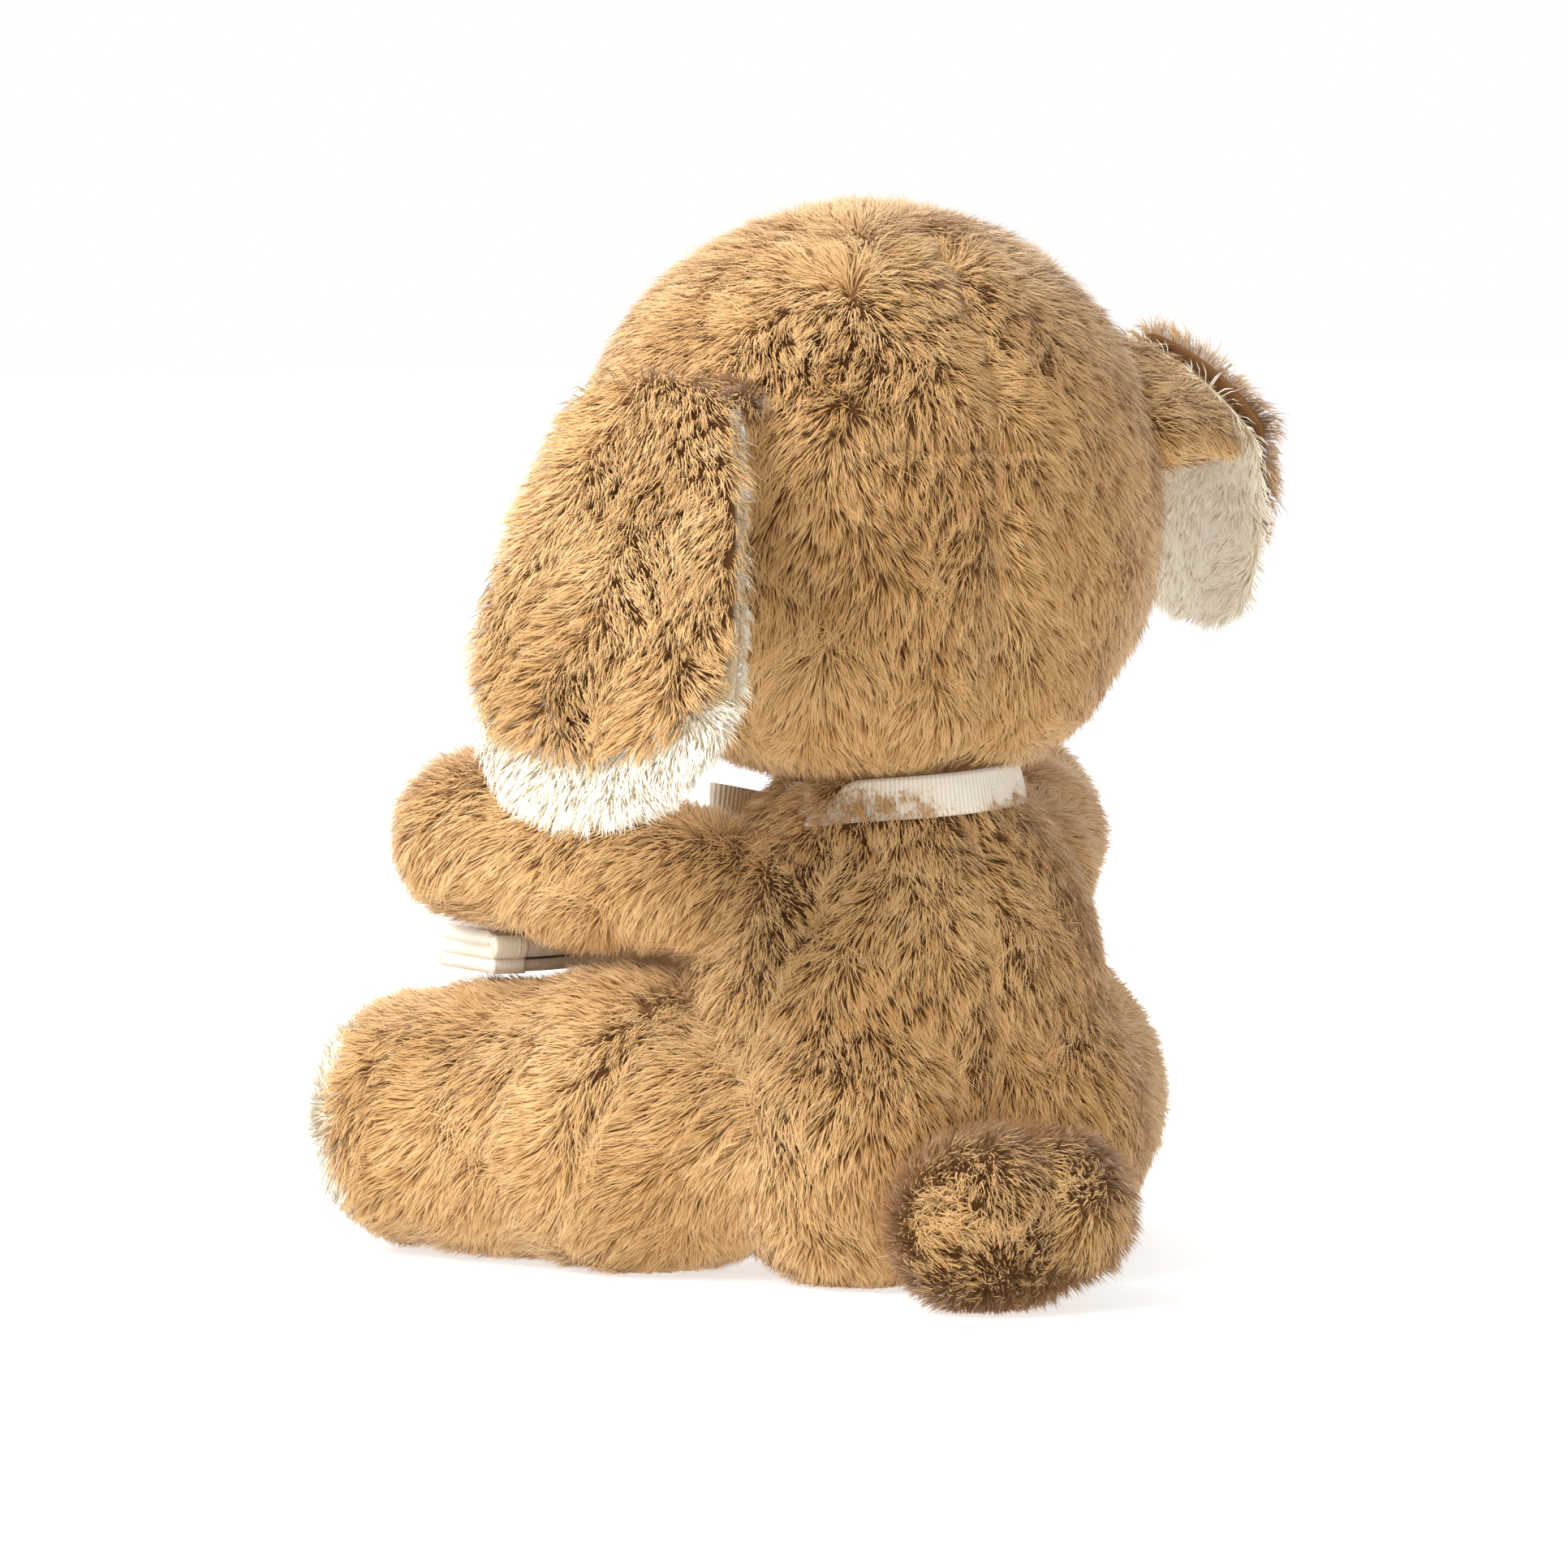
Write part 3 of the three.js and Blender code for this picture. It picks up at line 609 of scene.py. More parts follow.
for name, side in SIDES.items():
    way = leg_way(side)
    hip = hips[name]
    leg = puffed(hip + way * 55 * MM, lambda p: leg_distance(p, name), 130 * MM, 100, 110)
    skin_object(f"leg_{name}_backing", leg, f"leg_{name}", brown_backing,
                [f"leg_skin_{name}", f"leg_stuffing_{name}"])

    def leg_flow(roots, out):
        return 0.75 * way + np.array([0, 0, -0.75]) + 0 * roots

    def leg_keep(roots, out):
        along = (roots - hip) @ way
        round_sole = np.linalg.norm(roots - hip - along[:, None] * way, axis=1)
        sole = (along > LEG_END - 4 * MM) & (round_sole < 22 * MM)
        deep = leg_distance(roots + [0, 0, 6 * MM], name) < -4 * MM
        under = (roots[:, 2] < 2.2 * MM) & (out[:, 2] < -0.9) & deep
        return (torso_distance(roots) > -9 * MM) & ~sole & ~under

    grow(f"leg_{name}_pile", f"leg_{name}", leg, brown_pile, leg_flow, 30 + side, keep=leg_keep)

    middle = hip + way * LEG_END

    def sole_flow(roots, out):
        return roots - middle + np.array([0, 0, -4 * MM])

    sole_skin = puffed(middle - way * 4 * MM, lambda p: sole_distance(p, hip, way), 60 * MM, 50, 60)
    skin_object(f"foot_{name}_sole_backing", sole_skin, f"leg_{name}", cream_backing,
                [f"foot_sole_{name}"])

    def sole_front(roots, out):
        return (roots - hip) @ way > LEG_END - 3.5 * MM

    grow(f"foot_{name}_sole_pile", f"leg_{name}", sole_skin, cream_pile, sole_flow, 34 + side,
         length=6.5 * MM, lean=0.75, keep=sole_front)

    arm = puffed(shoulders[name] + arm_way(side) * 30 * MM, lambda p: arm_distance(p, name), 80 * MM, 70, 80)
    skin_object(f"arm_{name}_backing", arm, f"arm_{name}", brown_backing,
                [f"arm_skin_{name}", f"arm_stuffing_{name}"])

    def arm_flow(roots, out):
        return 0.6 * arm_way(side) + np.array([0, 0.1, -0.8]) + 0 * roots

    grow(f"arm_{name}_pile", f"arm_{name}", arm, brown_pile, arm_flow, 38 + side,
         keep=outside(torso_distance, 8 * MM))

tail = puffed(spot(12, 71, 20), tail_distance, 60 * MM, 70, 80)
skin_object("tail_backing", tail, "tail", brown_backing, ["tail_skin", "tail_stuffing"])


def tail_flow(roots, out):
    middle = spot(12, 62, 24)
    turn = np.cross(roots - middle, np.array([0, 1.0, 0.3]))
    return 0.6 * turn / (20 * MM) + np.array([0.2, 0.9, -0.3])


grow("tail_pile", "tail", tail, brown_pile, tail_flow, 45, lean=0.85,
     keep=outside(torso_distance, 8 * MM))

# ---------------- head and muzzle


def head_distance(p):
    """Skull, cheeks and scruff blended, drawn in at the middle seam and at one short dart behind."""
    skull = egg(p, spot(0, -15, 184), (73 - 4.6, 62 - 4.6, 68 - 4.4))
    cheeks = egg(p, spot(0, -18, 160), (64, 53, 38))
    scruff = egg(p, spot(0, 4, 142), (42, 34, 23))
    dart = np.exp(-(((p[..., 2] - 195 * MM) / (2.6 * MM)) ** 2)) * smoothstep(10 * MM, 40 * MM, p[..., 1])
    dart = dart * smoothstep(24 * MM, 14 * MM, np.abs(p[..., 0] - spot(10, 0, 0)[0]))
    whole = blend(blend(skull, cheeks, 14 * MM), scruff, 10 * MM)
    return whole + seam_dent(p, 2.4 * MM) + 2.2 * MM * dart


def muzzle_distance(p):
    """Two lips side by side under a bridge."""
    lips = [egg(p, spot(side * 12, -78, 158), (18, 21, 17)) for side in SIDES.values()]
    bridge = egg(p, spot(0, -74, 168), (19, 22, 15))
    return blend(blend(*lips, 4 * MM), bridge, 8 * MM)


head = puffed(spot(0, -15, 180), head_distance, 130 * MM, 130, 160)
skin_object("head_backing", head, "head", brown_backing,
            ["head_panel_left", "head_panel_right", "head_stuffing"])
muzzle = puffed(spot(0, -72, 163), muzzle_distance, 60 * MM, 70, 90)
skin_object("muzzle_backing", muzzle, "head", cream_backing,
            ["muzzle_skin", "muzzle_stuffing"])


def head_flow(roots, out):
    """Down from a whorl on the back of the crown, and back from the nose on the face."""
    whorl = spot(26, 22, 228)
    away = unit(roots - whorl)
    down = np.array([0.0, 0.0, -1.0])
    face = smoothstep(-30 * MM, -62 * MM, roots[:, 1] - BODY_AXIS[1])[:, None]
    return (1 - face) * (0.5 * away + 0.8 * down) + face * np.array([0, 0.6, 0.35])


def head_keep(roots, out):
    eyes = [spot(side * 27, -72.5, 192) for side in SIDES.values()]
    clear = np.min([np.linalg.norm(roots - eye, axis=1) for eye in eyes], axis=0) > 6.4 * MM
    return clear & (muzzle_distance(roots) > -5 * MM)


grow("head_pile", "head", head, brown_pile, head_flow, 51, keep=head_keep)


def muzzle_flow(roots, out):
    return roots - spot(0, -108, 172) + np.array([0, 0, -6 * MM])


grow("muzzle_pile", "head", muzzle, cream_pile, muzzle_flow, 55, length=4.5 * MM, lean=1.0,
     keep=lambda roots, out: head_distance(roots) > -4 * MM)

# ---------------- ears

EAR_LENGTH, EAR_WIDTH, EAR_ROOT = 106 * MM, 80 * MM, 36 * MM
ear_seams = {"left": joint_at("ear_left_flap"), "right": joint_at("ear_right_drop")}
# How each ear hangs: degrees turned back, flared out and leant forward; how far it is shifted
# back along its seam; how much shorter than whole; how far its brown side stops short of its
# rim; and how squarely a root of its brown pile must face outwards.
EAR_POSES = {
    "left": dict(turn=28, flare=20, lean=0, shift=3.0 * MM, short=0, rim=0, face=-0.35),
    "right": dict(turn=-6, flare=36, lean=52, shift=0, short=6 * MM, rim=10 * MM, face=0.05),
}


def curve(p0, p1, p2, p3, steps=24):
    """A cubic curve through p0 and p3."""
    t = np.linspace(0, 1, steps, endpoint=False)[:, None]
    p0, p1, p2, p3 = map(np.asarray, (p0, p1, p2, p3))
    return (1 - t) ** 3 * p0 + 3 * (1 - t) ** 2 * t * p1 + 3 * (1 - t) * t * t * p2 + t**3 * p3


def ear_outline(length, width):
    """The rim of an ear hanging from its root at the origin: across, and down as minus."""
    h, r, l = width / 2, EAR_ROOT / 2, length
    return np.vstack([
        curve((-r, 0), (-h * 0.7, -l * 0.12), (-h * 0.92, -l * 0.4), (-h, -l * 0.68)),
        curve((-h, -l * 0.68), (-h * 0.92, -l * 0.92), (-h * 0.5, -l), (0, -l)),
        curve((0, -l), (h * 0.5, -l), (h * 0.92, -l * 0.92), (h, -l * 0.68)),
        curve((h, -l * 0.68), (h * 0.92, -l * 0.4), (h * 0.7, -l * 0.12), (r, 0)),
    ])


def turn_about(axis, degrees):
    """A turn about X, Y or Z, as a matrix."""
    c, s = math.cos(math.radians(degrees)), math.sin(math.radians(degrees))
    return {
        "x": np.array([[1, 0, 0], [0, c, -s], [0, s, c]]),
        "y": np.array([[c, 0, s], [0, 1, 0], [-s, 0, c]]),
        "z": np.array([[c, -s, 0], [s, c, 0], [0, 0, 1]]),
    }[axis]


def ear_matrix(name):
    """The turn from a flat hanging ear, seen from its side, to its place on the head."""
    pose, side = EAR_POSES[name], SIDES[name]
    turn = pose["turn"] if side > 0 else 180 - pose["turn"]
    return turn_about("z", turn) @ turn_about("y", -pose["flare"]) @ turn_about("x", -side * pose["lean"])


def ear_bow(flat):
    """Bends the flat ear: its middle stands out and its edges and tip curl back in."""
    across, down = flat[..., 1] / (EAR_WIDTH / 2), -flat[..., 2] / EAR_LENGTH
    bent = flat.copy()
    bent[..., 0] += (4.5 * (1 - across**2) - 2.5 + 3.0 * np.sin(np.pi * np.clip(down, 0, 1))) * MM
    return bent


def ear_pillow(name, length, width, drop, low, high, rows=70, columns=140):
    """A thin pillow inside an ear outline: its faces are poles, and its rim is the outline drawn in."""
    rim = ear_outline(length, width) + [0, -drop]
    middle = np.array([0, -drop - length * 0.52])
    spokes = rim - middle
    angle = np.unwrap(np.arctan2(spokes[:, 1], spokes[:, 0]))
    reach = np.linalg.norm(spokes, axis=1)
    order = np.argsort(angle % (2 * np.pi))
    round_ = np.linspace(0, 2 * np.pi, columns, endpoint=False)
    far = np.interp(round_, (angle % (2 * np.pi))[order], reach[order], period=2 * np.pi)
    down = np.linspace(0, np.pi, rows)[:, None]
    rho = np.sin(down) ** 0.75
    x = (low + high) / 2 + (high - low) / 2 * np.sign(np.cos(down)) * np.abs(np.cos(down)) ** 0.8
    grid = np.stack([
        x + 0 * round_, middle[0] + rho * far * np.cos(round_), middle[1] + rho * far * np.sin(round_),
    ], -1)
    bowed = ear_bow(grid)
    bowed[..., 1] += EAR_POSES[name]["shift"]
    return Skin(bowed @ ear_matrix(name).T + ear_seams[name])


for name, side in SIDES.items():
    matrix = ear_matrix(name)
    root = ear_seams[name]
    short, rim = EAR_POSES[name]["short"], EAR_POSES[name]["rim"]
    lining = ear_pillow(name, EAR_LENGTH - 7 * MM - short, EAR_WIDTH - 12 * MM, 2 * MM, 0.6 * MM, 4.2 * MM)
    outer_length, outer_width = EAR_LENGTH - 20 * MM - short - rim, EAR_WIDTH - 14 * MM - rim
    outer = ear_pillow(name, outer_length, outer_width, 1 * MM, 3.0 * MM, 8.0 * MM)
    body = f"ear_{name}"
    skin_object(f"ear_{name}_lining_backing", lining, body, cream_backing,
                [f"ear_lining_{name}"])
    skin_object(f"ear_{name}_outer_backing", outer, body, brown_backing, [f"ear_outer_{name}"])
    hang = matrix @ np.array([0, 0, -1.0])
    face = matrix @ np.array([1.0, 0, 0])
    heart = root + matrix @ np.array([4 * MM, 0, -0.5 * EAR_LENGTH])

    def ear_flow(roots, out):
        return 0.9 * hang + 0.55 * (roots - heart) / (EAR_WIDTH / 2)

    def outer_keep(roots, out):
        return out @ face > EAR_POSES[name]["face"]

    def lining_keep(roots, out):
        behind = out @ face < 0.25
        low = (roots - root) @ hang > EAR_LENGTH - 34 * MM
        return behind | low

    grow(f"ear_{name}_outer_pile", body, outer, brown_pile, ear_flow, 61 + side, keep=outer_keep)
    grow(f"ear_{name}_lining_pile", body, lining, cream_pile, ear_flow, 65 + side,
         length=5.5 * MM, lean=1.2, lock=0.4, keep=lining_keep)


for name, side in SIDES.items():
    root = ear_seams[name]
    inner = root * [0, 1, 1] + [BODY_AXIS[0] + side * 58 * MM, 0, -2 * MM]
    reach = root + ear_matrix(name) @ np.array([3 * MM, 0, -7 * MM]) - inner
    seam = ear_matrix(name) @ np.array([0, 1.0, 0])
    seam = unit(seam - (seam @ unit(reach)) * unit(reach))

    def ear_root_distance(p):
        """A flat furry gather from the side of the head to the ear's seam."""
        place = p - seam * np.clip((p - inner) @ seam, -11 * MM, 11 * MM)[..., None]
        return bar(place, inner, unit(reach), np.linalg.norm(reach), 5.5 * MM, 3.6 * MM)

    gather = puffed(inner + reach / 2, ear_root_distance, 40 * MM, 50, 70)
    skin_object(f"ear_{name}_root_backing", gather, "head", brown_backing)
    grow(f"ear_{name}_root_pile", "head", gather, brown_pile, towards(side * 0.6, 0, -0.8),
         81 + side, length=6 * MM, keep=lambda roots, out: head_distance(roots) > -3 * MM)

# ---------------- neck

neck_middle = spot(0, -6, 126)


def neck_distance(p):
    return egg(p, neck_middle, (25, 25, 19))


neck = puffed(neck_middle, neck_distance, 60 * MM, 50, 70)
skin_object("neck_backing", neck, "neck", brown_backing, ["neck_stuffing"])
grow("neck_pile", "neck", neck, brown_pile, towards(0, 0, -1), 71, length=5 * MM,
     keep=lambda roots, out: (head_distance(roots) > -6 * MM) & (torso_distance(roots) > -3 * MM))

# ---------------- ribbon and bow


def woven_paint(name, dark, light, rib, depth, roughness, sheen):
    """Cloth with fine ribs across its run."""
    paint = Paint(name, roughness=roughness, Sheen_Weight=sheen, Sheen_Roughness=0.35)
    wave = paint.node("ShaderNodeMath", {"operation": "SINE"}, {0: paint.value("run") * (2 * math.pi / rib)})
    ribs = wave * 0.5 + 0.5
    fuzz = paint.noise(700.0, 3.0)
    paint.feed("Base Color", paint.mix(ribs * 0.7 + fuzz * 0.3, dark, light))
    return paint.bump(ribs + fuzz * 0.35, depth).material


ribbed_ribbon = woven_paint(
    "ribbed_ribbon", linear(226, 213, 190), linear(250, 243, 229), 1.1 * MM, 0.16 * MM, 0.5, 0.3
)
blanket_satin = woven_paint(
    "blanket_satin", linear(240, 229, 207), linear(251, 244, 228), 0.6 * MM, 0.05 * MM, 0.38, 0.2
)


def cloth(name, grid, thickness, body, material, nodes=()):
    """A sheet from its middle surface: rows run along it, columns across. Solidify gives it its thickness."""
    rows, columns = grid.shape[:2]
    first = (np.arange(rows - 1)[:, None] * columns + np.arange(columns - 1)).ravel()
    corners = np.stack([first, first + 1, first + columns + 1, first + columns], 1)
    thing = new_object(name, grid.reshape(-1, 3), corners.ravel(), np.full(len(corners), 4))
    steps = np.linalg.norm(np.diff(grid, axis=0), axis=2)
    run = np.concatenate([[0.0], np.cumsum(steps.mean(1))])
    add_value(thing, "run", np.repeat(run, columns))
    wall = thing.modifiers.new("thickness", "SOLIDIFY")
    wall.thickness, wall.offset = thickness, 0
    dress(thing, body, material, nodes)
    p, q = grid[:-1, :-1], grid[1:, 1:]
    area = np.linalg.norm(np.cross(q - p, grid[1:, :-1] - grid[:-1, 1:]), axis=2).sum() / 2
    return thing


def band(path, across, width, columns=9):
    """The middle surface of a ribbon: a straight line across, carried along a path."""
    s = np.linspace(-0.5, 0.5, columns)[None, :, None]
    width = np.broadcast_to(width, len(path))[:, None, None]
    return path[:, None, :] + s * width * across[:, None, :]


def neck_ribbon_grid():
    """A ring whose height rises towards the right of the back, with one turned-over crease on the left."""
    around = np.linspace(-math.pi + 0.15, math.pi - 0.15, 260)
    crease = np.exp(-(((around - math.radians(70)) / 0.17) ** 2))
    radial = np.stack([np.sin(around), np.cos(around), 0 * around], 1)
    radius = (28.4 + 0.35 * np.sin(5 * around + 1) + 1.1 * crease) * MM
    lo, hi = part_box("neck_ribbon")
    rise = (-2.2 * np.sin(around - math.radians(30)) - 2.4 * crease) * MM
    path = np.array([BODY_AXIS[0], BODY_AXIS[1], (lo[2] + hi[2]) / 2]) + radial * radius[:, None]
    path[:, 2] += rise
    lean = np.radians(14 + 34 * crease)[:, None]
    across = UP * np.cos(lean) - radial * np.sin(lean)
    return band(path, across, (10 - 1.5 * crease) * MM)


cloth("neck_band", neck_ribbon_grid(), 0.5 * MM, "torso", ribbed_ribbon, ["neck_ribbon"])

knot_low, knot_high = (np.array(corner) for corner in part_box("bow_knot"))
knot_middle = (knot_low + knot_high) / 2


def knot_distance(p):
    """A rounded box with three soft gathers down its front."""
    q = np.abs(p - knot_middle) - (knot_high - knot_low) / 2 + 2.6 * MM
    box = np.linalg.norm(np.maximum(q, 0), axis=-1) - 2.6 * MM
    return box + 0.3 * MM * np.cos((p[..., 0] - knot_middle[0]) * 2 * math.pi / (2.6 * MM))


knot = puffed(knot_middle, knot_distance, 14 * MM, 60, 90)
knot_object = skin_object("bow_knot_wrap", knot, "torso", ribbed_ribbon, ["bow_knot"])
add_value(knot_object, "run", knot.points[:, 2])


def bow_loop_grid(side):
    """A teardrop: x = sin(pi t), y = sin(2 pi t), widest at its round end."""
    t = np.linspace(0, 1, 90)
    out = np.sin(math.pi * t) ** 0.85
    forward = -2.3 * np.sin(2 * math.pi * t) * out**0.5
    path = knot_middle + np.stack([side * (3.5 + 26 * out), forward, 1.2 * out], 1) * MM
    lean = 0.10 * np.sin(2 * math.pi * t)
    across = unit(np.stack([side * lean, 0.1 * out, np.ones_like(t)], 1))
    return band(path, across, (7 + 8 * out) * MM)


def front_of(distance, x, z, stand_off, ahead):
    """The y of the front of a shape, by stepping in from a place ahead of it."""
    place = np.stack([x, np.full_like(x, BODY_AXIS[1] - ahead), z], -1)
    for _ in range(60):
        place[..., 1] += 0.85 * (distance(place) - stand_off)
    return place[..., 1]


def bow_tail_grid(side):
    """A band that hangs from the knot and lies on the pile of the belly, cut on the slant."""
    t = np.linspace(0, 1, 60)
    x = knot_middle[0] + side * (3.0 + 5.5 * t) * MM
    z = knot_low[2] + (1.5 - 35 * t) * MM
    y = front_of(torso_distance, x, z, 6.2 * MM, 100 * MM) - 0.5 * MM * np.sin(9 * t)
    path = np.stack([x, y, z], 1)
    one = np.ones_like(t)
    across = unit(np.stack([one, side * 0.16 + 0.1 * np.sin(7 * t), side * 0.16 * one], 1))
    grid = band(path, across, 9 * MM)
    slant = (t**6)[:, None] * np.linspace(-1, 1, 9)[None, :]
    grid[..., 2] += side * 3 * MM * slant
    return grid


for name, side in SIDES.items():
    cloth(f"bow_loop_{name}_ribbon", bow_loop_grid(side), 0.5 * MM, "torso", ribbed_ribbon,
          [f"bow_loop_{name}"])
    cloth(f"bow_tail_{name}_ribbon", bow_tail_grid(side), 0.5 * MM, "torso", ribbed_ribbon,
          [f"bow_tail_{name}"])

# ---------------- comfort blanket

FLEECE = 2.7 * MM  # thickness of one layer
LAYER = 3.3 * MM  # from the middle of one layer to the next


def folded_section(swell=0.0):
    """Three layers with two round folds: straight runs joined by half circles, as (y, z) from the middle."""
    half, r = 12.4 * MM, LAYER / 2
    runs = np.linspace(-1, 1, 16)
    bend = np.linspace(0, math.pi, 12)[1:-1]
    low = np.stack([-runs * (half + swell) + 1 * MM, np.full(16, -LAYER)], 1)
    front = np.stack([-half - swell - r * np.sin(bend) + 1 * MM, -LAYER / 2 - r * np.cos(bend)], 1)
    middle = np.stack([runs * half, np.zeros(16)], 1)
    back = np.stack([half + r * np.sin(bend), LAYER / 2 - r * np.cos(bend)], 1)
    high = np.stack([-runs * (half + swell), np.full(16, LAYER)], 1)
    return np.vstack([low, front, middle, back, high])


def blanket_grid(start, end, steps, swell=0.0):
    """The folded section carried along X, with a soft sag and a wave along its run."""
    section = folded_section(swell)
    along = np.linspace(start, end, steps)
    lo, hi = blanket_box
    sag = 0.7 * MM * np.sin(along / (17 * MM)) + 0.4 * MM * np.sin(along / (6.3 * MM) + 1)
    grid = np.empty((steps, len(section), 3))
    grid[..., 0] = along[:, None]
    grid[..., 1] = (lo[1] + hi[1]) / 2 + section[None, :, 0] * (1 + 0.02 * np.sin(along / (9 * MM)))[:, None]
    grid[..., 2] = (lo[2] + hi[2]) / 2 + 0.4 * MM + section[None, :, 1] + 0.5 * sag[:, None]
    return grid


blanket_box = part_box("blanket_panel")
left_end, right_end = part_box("blanket_binding_left")[1][0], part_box("blanket_binding_right")[0][0]
BINDING, STITCH_INSET = 8.5 * MM, 2.2 * MM

fleece_paint = Paint("cream_fleece", roughness=0.95, Sheen_Weight=0.4, Sheen_Roughness=0.5)
nap = fleece_paint.noise(1400.0, 4.0)
curl = fleece_paint.noise(330.0, 3.0)
pale, palest = linear(214, 203, 182), linear(240, 232, 216)
fleece_paint.feed("Base Color", fleece_paint.mix(curl * 0.6 + nap * 0.4, pale, palest))
cream_fleece = fleece_paint.bump(curl + nap * 0.6, 0.5 * MM).material

stitch_thread = Paint("stitch_thread", roughness=0.5)
twist = stitch_thread.noise(900.0)
stitch_thread.feed("Base Color", stitch_thread.mix(twist, linear(214, 200, 168), linear(238, 228, 204)))


def pebbles(name, middles, ways, size, body, material):
    """Many small long beads in one mesh, each along its own way: thread where it shows between two holes."""
    ball_grid = Skin(sphere_grid(7, 8))
    side = unit(np.cross(ways, [1.0, 0.2, 0.1]))
    third = np.cross(ways, side)
    axes = np.stack([ways * size[0], side * size[1], third * size[1]], 1)
    points = middles[:, None, :] + np.einsum("pk,nkj->npj", ball_grid.points, axes)
    tris = ball_grid.tris[None] + (np.arange(len(middles)) * len(ball_grid.points))[:, None, None]
    thing = new_object(name, points.reshape(-1, 3), tris.ravel(), np.full(tris.shape[0] * tris.shape[1], 3))
    dress(thing, body, material)
    return thing


def binding_stitches(name, x):
    """A row of stitches just inside a binding's edge, round the back fold and over the top layer."""
    section = folded_section(0.6 * MM)[42:]
    middle = (np.array(blanket_box[0]) + np.array(blanket_box[1])) / 2
    way = unit(np.gradient(section, axis=0))
    skin = section + np.stack([way[:, 1], -way[:, 0]], 1) * (FLEECE / 2 + 0.75 * MM)
    reach = np.concatenate([[0], np.cumsum(np.linalg.norm(np.diff(skin, axis=0), axis=1))])
    at = np.arange(0.6 * MM, reach[-1], 2.5 * MM)
    y, z = (np.interp(at, reach, skin[:, k]) for k in range(2))
    wy, wz = (np.interp(at, reach, way[:, k]) for k in range(2))
    middles = np.stack([np.full_like(at, x), middle[1] + y, middle[2] + 0.4 * MM + z], 1)
    ways = unit(np.stack([0 * at, wy, wz], 1))
    return pebbles(name, middles, ways, (0.95 * MM, 0.28 * MM), "arm_left", stitch_thread.material)


for name, low_x, high_x in (
    ("left", left_end - BINDING, left_end), ("right", right_end, right_end + BINDING),
):
    cloth(f"blanket_bound_end_{name}", blanket_grid(low_x, high_x, 14, 0.6 * MM), FLEECE + 0.8 * MM,
          "arm_left", blanket_satin, [f"blanket_binding_{name}"])
threads = [
    binding_stitches("blanket_stitches_left", left_end - BINDING + STITCH_INSET),
    binding_stitches("blanket_stitches_right", right_end + BINDING - STITCH_INSET),
]
cloth("blanket_fleece", blanket_grid(right_end + BINDING - 1 * MM, left_end - BINDING + 1 * MM, 130), FLEECE,
      "arm_left", cream_fleece, ["blanket_panel"])

# ---------------- eyes, nose and mouth


def face_spot(x, z):
    """A place on the front of the head and the way out of it there."""
    across, up = x / 73, (z - 184) / 68
    depth = math.sqrt(1 - across**2 - up**2)
    return spot(x, -15 - 62 * depth, z), unit(np.array([across / 73, -depth / 62, up / 68]))


eye_paint = Paint("polished_eye", roughness=0.12, Coat_Weight=0.6, Coat_Roughness=0.05)
grain = eye_paint.noise(160.0, 3.0)
eye_paint.feed("Base Color", eye_paint.mix(grain, linear(20, 12, 8), linear(44, 26, 16)))
polished_eye = eye_paint.bump(eye_paint.noise(60.0), 0.02 * MM, 0.3).material

milky = Paint("milky_plastic", roughness=0.45)
milky.feed("Base Color", milky.mix(milky.noise(300.0), linear(206, 206, 202), linear(226, 226, 222)))

for name, side in SIDES.items():
    place, out = face_spot(side * 27, 192)
    first = unit(np.cross(out, UP))
    frame3 = np.stack([first, np.cross(out, first), out])
    eye_skin = Skin(place + out * 1.2 * MM + (sphere_grid(40, 64) * np.array([5.6, 5.6, 4.0]) * MM) @ frame3)
    skin_object(f"eye_{name}_dome", eye_skin, "head", polished_eye, [f"eye_{name}"])
    washer = bpy.data.objects[f"eye_washer_{name}"]
    washer.data.materials.clear()
    washer.data.materials.append(milky.material)

nose_paint = Paint("stitched_nose", roughness=0.6, Sheen_Weight=0.3)
strands = nose_paint.node(
    "ShaderNodeTexWave", {"wave_type": "BANDS", "bands_direction": "X"},
    {"Vector": nose_paint.place(), "Scale": 420.0, "Distortion": 1.2, "Detail": 2.0}, output="Fac",
)
nose_paint.feed("Base Color", nose_paint.mix(strands, linear(46, 28, 20), linear(86, 56, 42)))
stitched_nose = nose_paint.bump(strands, 0.3 * MM).material


def nose_distance(p):
    """A soft triangle: a wide pad on top, a small one under it."""
    top = egg(p, spot(0, -99.5, 175), (9.4, 6.2, 5.2))
    foot = egg(p, spot(0, -99.5, 170), (5, 5.4, 4.2))
    return blend(top, foot, 3 * MM)


skin_object("nose_pad", puffed(spot(0, -99.5, 173.5), nose_distance, 20 * MM, 50, 80), "head", stitched_nose,
            ["nose"])


def mouth_line(name, x, z):
    """A thread along a line on the muzzle: a small circle carried along it."""
    x, z = BODY_AXIS[0] + np.asarray(x) * MM, np.asarray(z) * MM
    path = np.stack([x, front_of(muzzle_distance, x, z, 1.9 * MM, 130 * MM), z], 1)
    way = unit(np.gradient(path, axis=0))
    first = unit(np.cross(way, [0.0, 1.0, 0.0]))
    second = np.cross(way, first)
    round_ = np.linspace(0, 2 * math.pi, 12, endpoint=False)
    ring = first[:, None] * np.cos(round_)[None, :, None] + second[:, None] * np.sin(round_)[None, :, None]
    grid = path[:, None] + 0.75 * MM * ring
    ends = [np.broadcast_to(path[k], (1, 12, 3)) for k in (0, -1)]
    tube = Skin(np.concatenate([ends[0], grid, ends[1]]))
    skin_object(name, tube, "head", stitched_nose)


steps = np.linspace(0, 1, 30)
mouth_line("mouth_middle", 0 * steps, 166 - 8.5 * steps)
for name, side in SIDES.items():
    mouth_line(f"mouth_{name}", side * (0.3 + 9.5 * steps), 157.5 - 5 * np.sin(math.pi * 0.62 * steps))

# ---------------- camera, light and floor


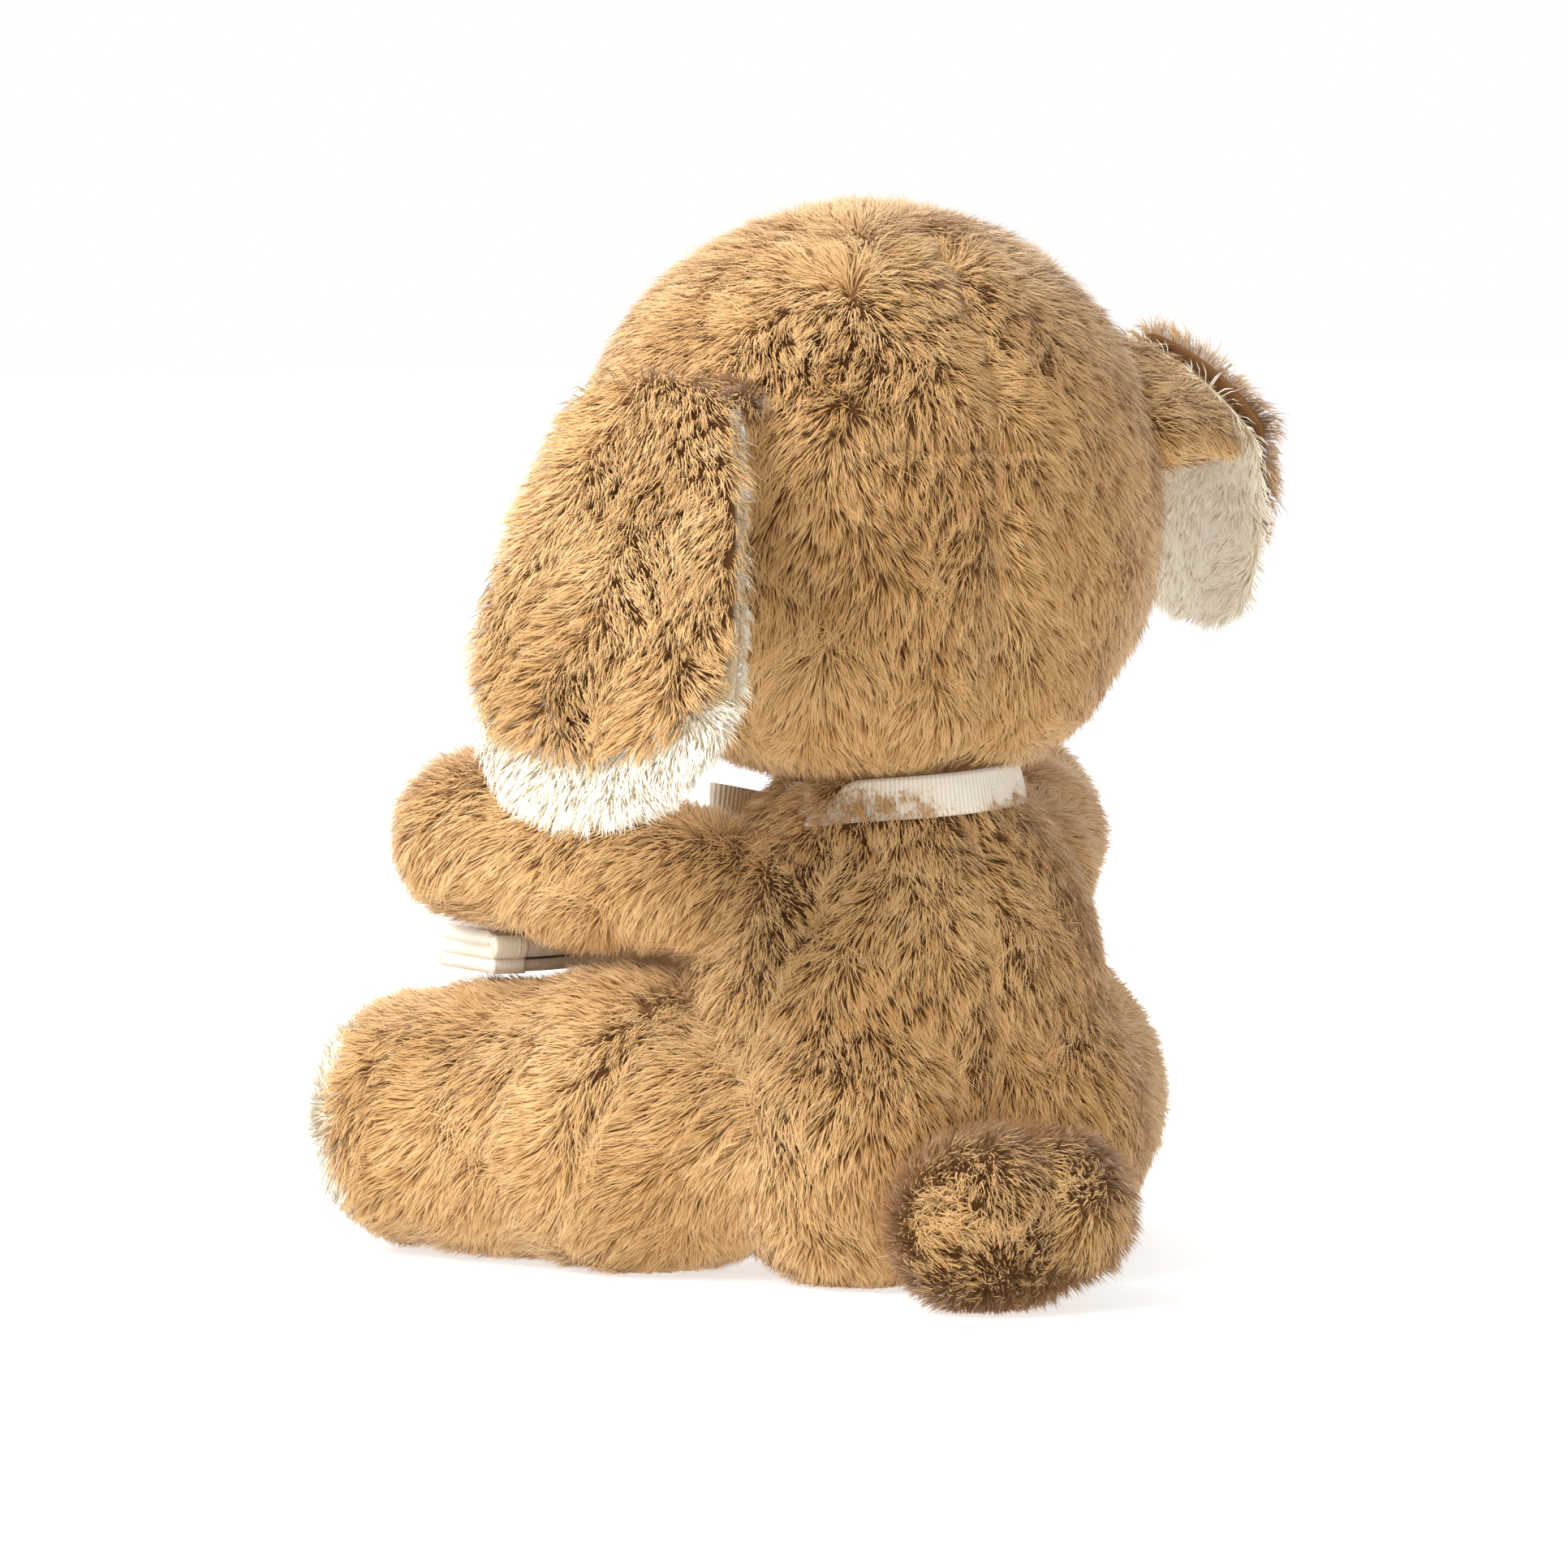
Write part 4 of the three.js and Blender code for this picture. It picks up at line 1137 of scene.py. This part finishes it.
CAMERA_TURN, CAMERA_RISE = math.radians(150), math.radians(4)
CAMERA_DISTANCE, CAMERA_LENS, SENSOR = 1.8, 176, 36
ROOM_LIGHT = 0.7  # how bright the white room lights the dog, beside how bright it looks
FLOOR_HALF, FLOOR_GLOW = 12.0, 0.66


def set_stage():
    """A camera behind the dog's left shoulder, a white sweep, and soft light from the camera's left."""
    turn, rise = CAMERA_TURN, CAMERA_RISE
    away = Vector((math.sin(turn) * math.cos(rise), -math.cos(turn) * math.cos(rise), math.sin(rise)))
    look_at = Vector(spot(23.7, -13.7, 114.6))
    data = bpy.data.cameras.new("camera")
    data.sensor_width, data.lens = SENSOR, CAMERA_LENS
    data.clip_start, data.clip_end = 0.05, 50
    camera = bpy.data.objects.new("camera", data)
    camera.location = look_at + away * CAMERA_DISTANCE
    camera.rotation_mode = "QUATERNION"
    camera.rotation_quaternion = (-away).to_track_quat("-Z", "Y")
    bpy.context.scene.collection.objects.link(camera)
    bpy.context.scene.camera = camera

    right = Vector((math.cos(turn), math.sin(turn), 0))
    up = Vector((0, 0, 1))
    heart = Vector(spot(0, -10, 110))
    for label, way, distance, size, power in (
        ("key", 1.1 * up - right + 0.75 * away, 1.5, 1.1, 29),
        ("back", up - 0.3 * right - away, 1.7, 1.5, 14),
    ):
        lamp = bpy.data.lights.new(label, "AREA")
        lamp.shape, lamp.size, lamp.energy = "DISK", size, power
        thing = bpy.data.objects.new(label, lamp)
        thing.location = heart + way.normalized() * distance
        thing.rotation_mode = "QUATERNION"
        thing.rotation_quaternion = (-way).to_track_quat("-Z", "Y")
        bpy.context.scene.collection.objects.link(thing)

    world = bpy.data.worlds.new("white_room")
    world.use_nodes = True
    background = world.node_tree.nodes["Background"]
    background.inputs["Color"].default_value = (1, 1, 1, 1)
    seen = world.node_tree.nodes.new("ShaderNodeLightPath")
    strength = world.node_tree.nodes.new("ShaderNodeMapRange")
    strength.inputs["To Min"].default_value = ROOM_LIGHT
    world.node_tree.links.new(seen.outputs["Is Camera Ray"], strength.inputs["Value"])
    world.node_tree.links.new(strength.outputs["Result"], background.inputs["Strength"])
    bpy.context.scene.world = world
    bpy.context.scene.view_settings.view_transform = "Standard"

    floor_paint = Paint("white_sweep", roughness=0.9)
    speck = floor_paint.noise(4.0)
    floor_paint.feed("Base Color", floor_paint.mix(speck, (0.54, 0.54, 0.54), (0.56, 0.56, 0.56)))
    floor_paint.shader.inputs["Emission Color"].default_value = (1, 1, 1, 1)
    floor_paint.shader.inputs["Emission Strength"].default_value = FLOOR_GLOW
    half = FLOOR_HALF
    corners = np.array([[-half, -half, 0], [half, -half, 0], [half, half, 0], [-half, half, 0]])
    floor = new_object("floor", corners, np.arange(4), np.array([4]), smooth=False)
    floor.data.materials.append(floor_paint.material)


set_stage()
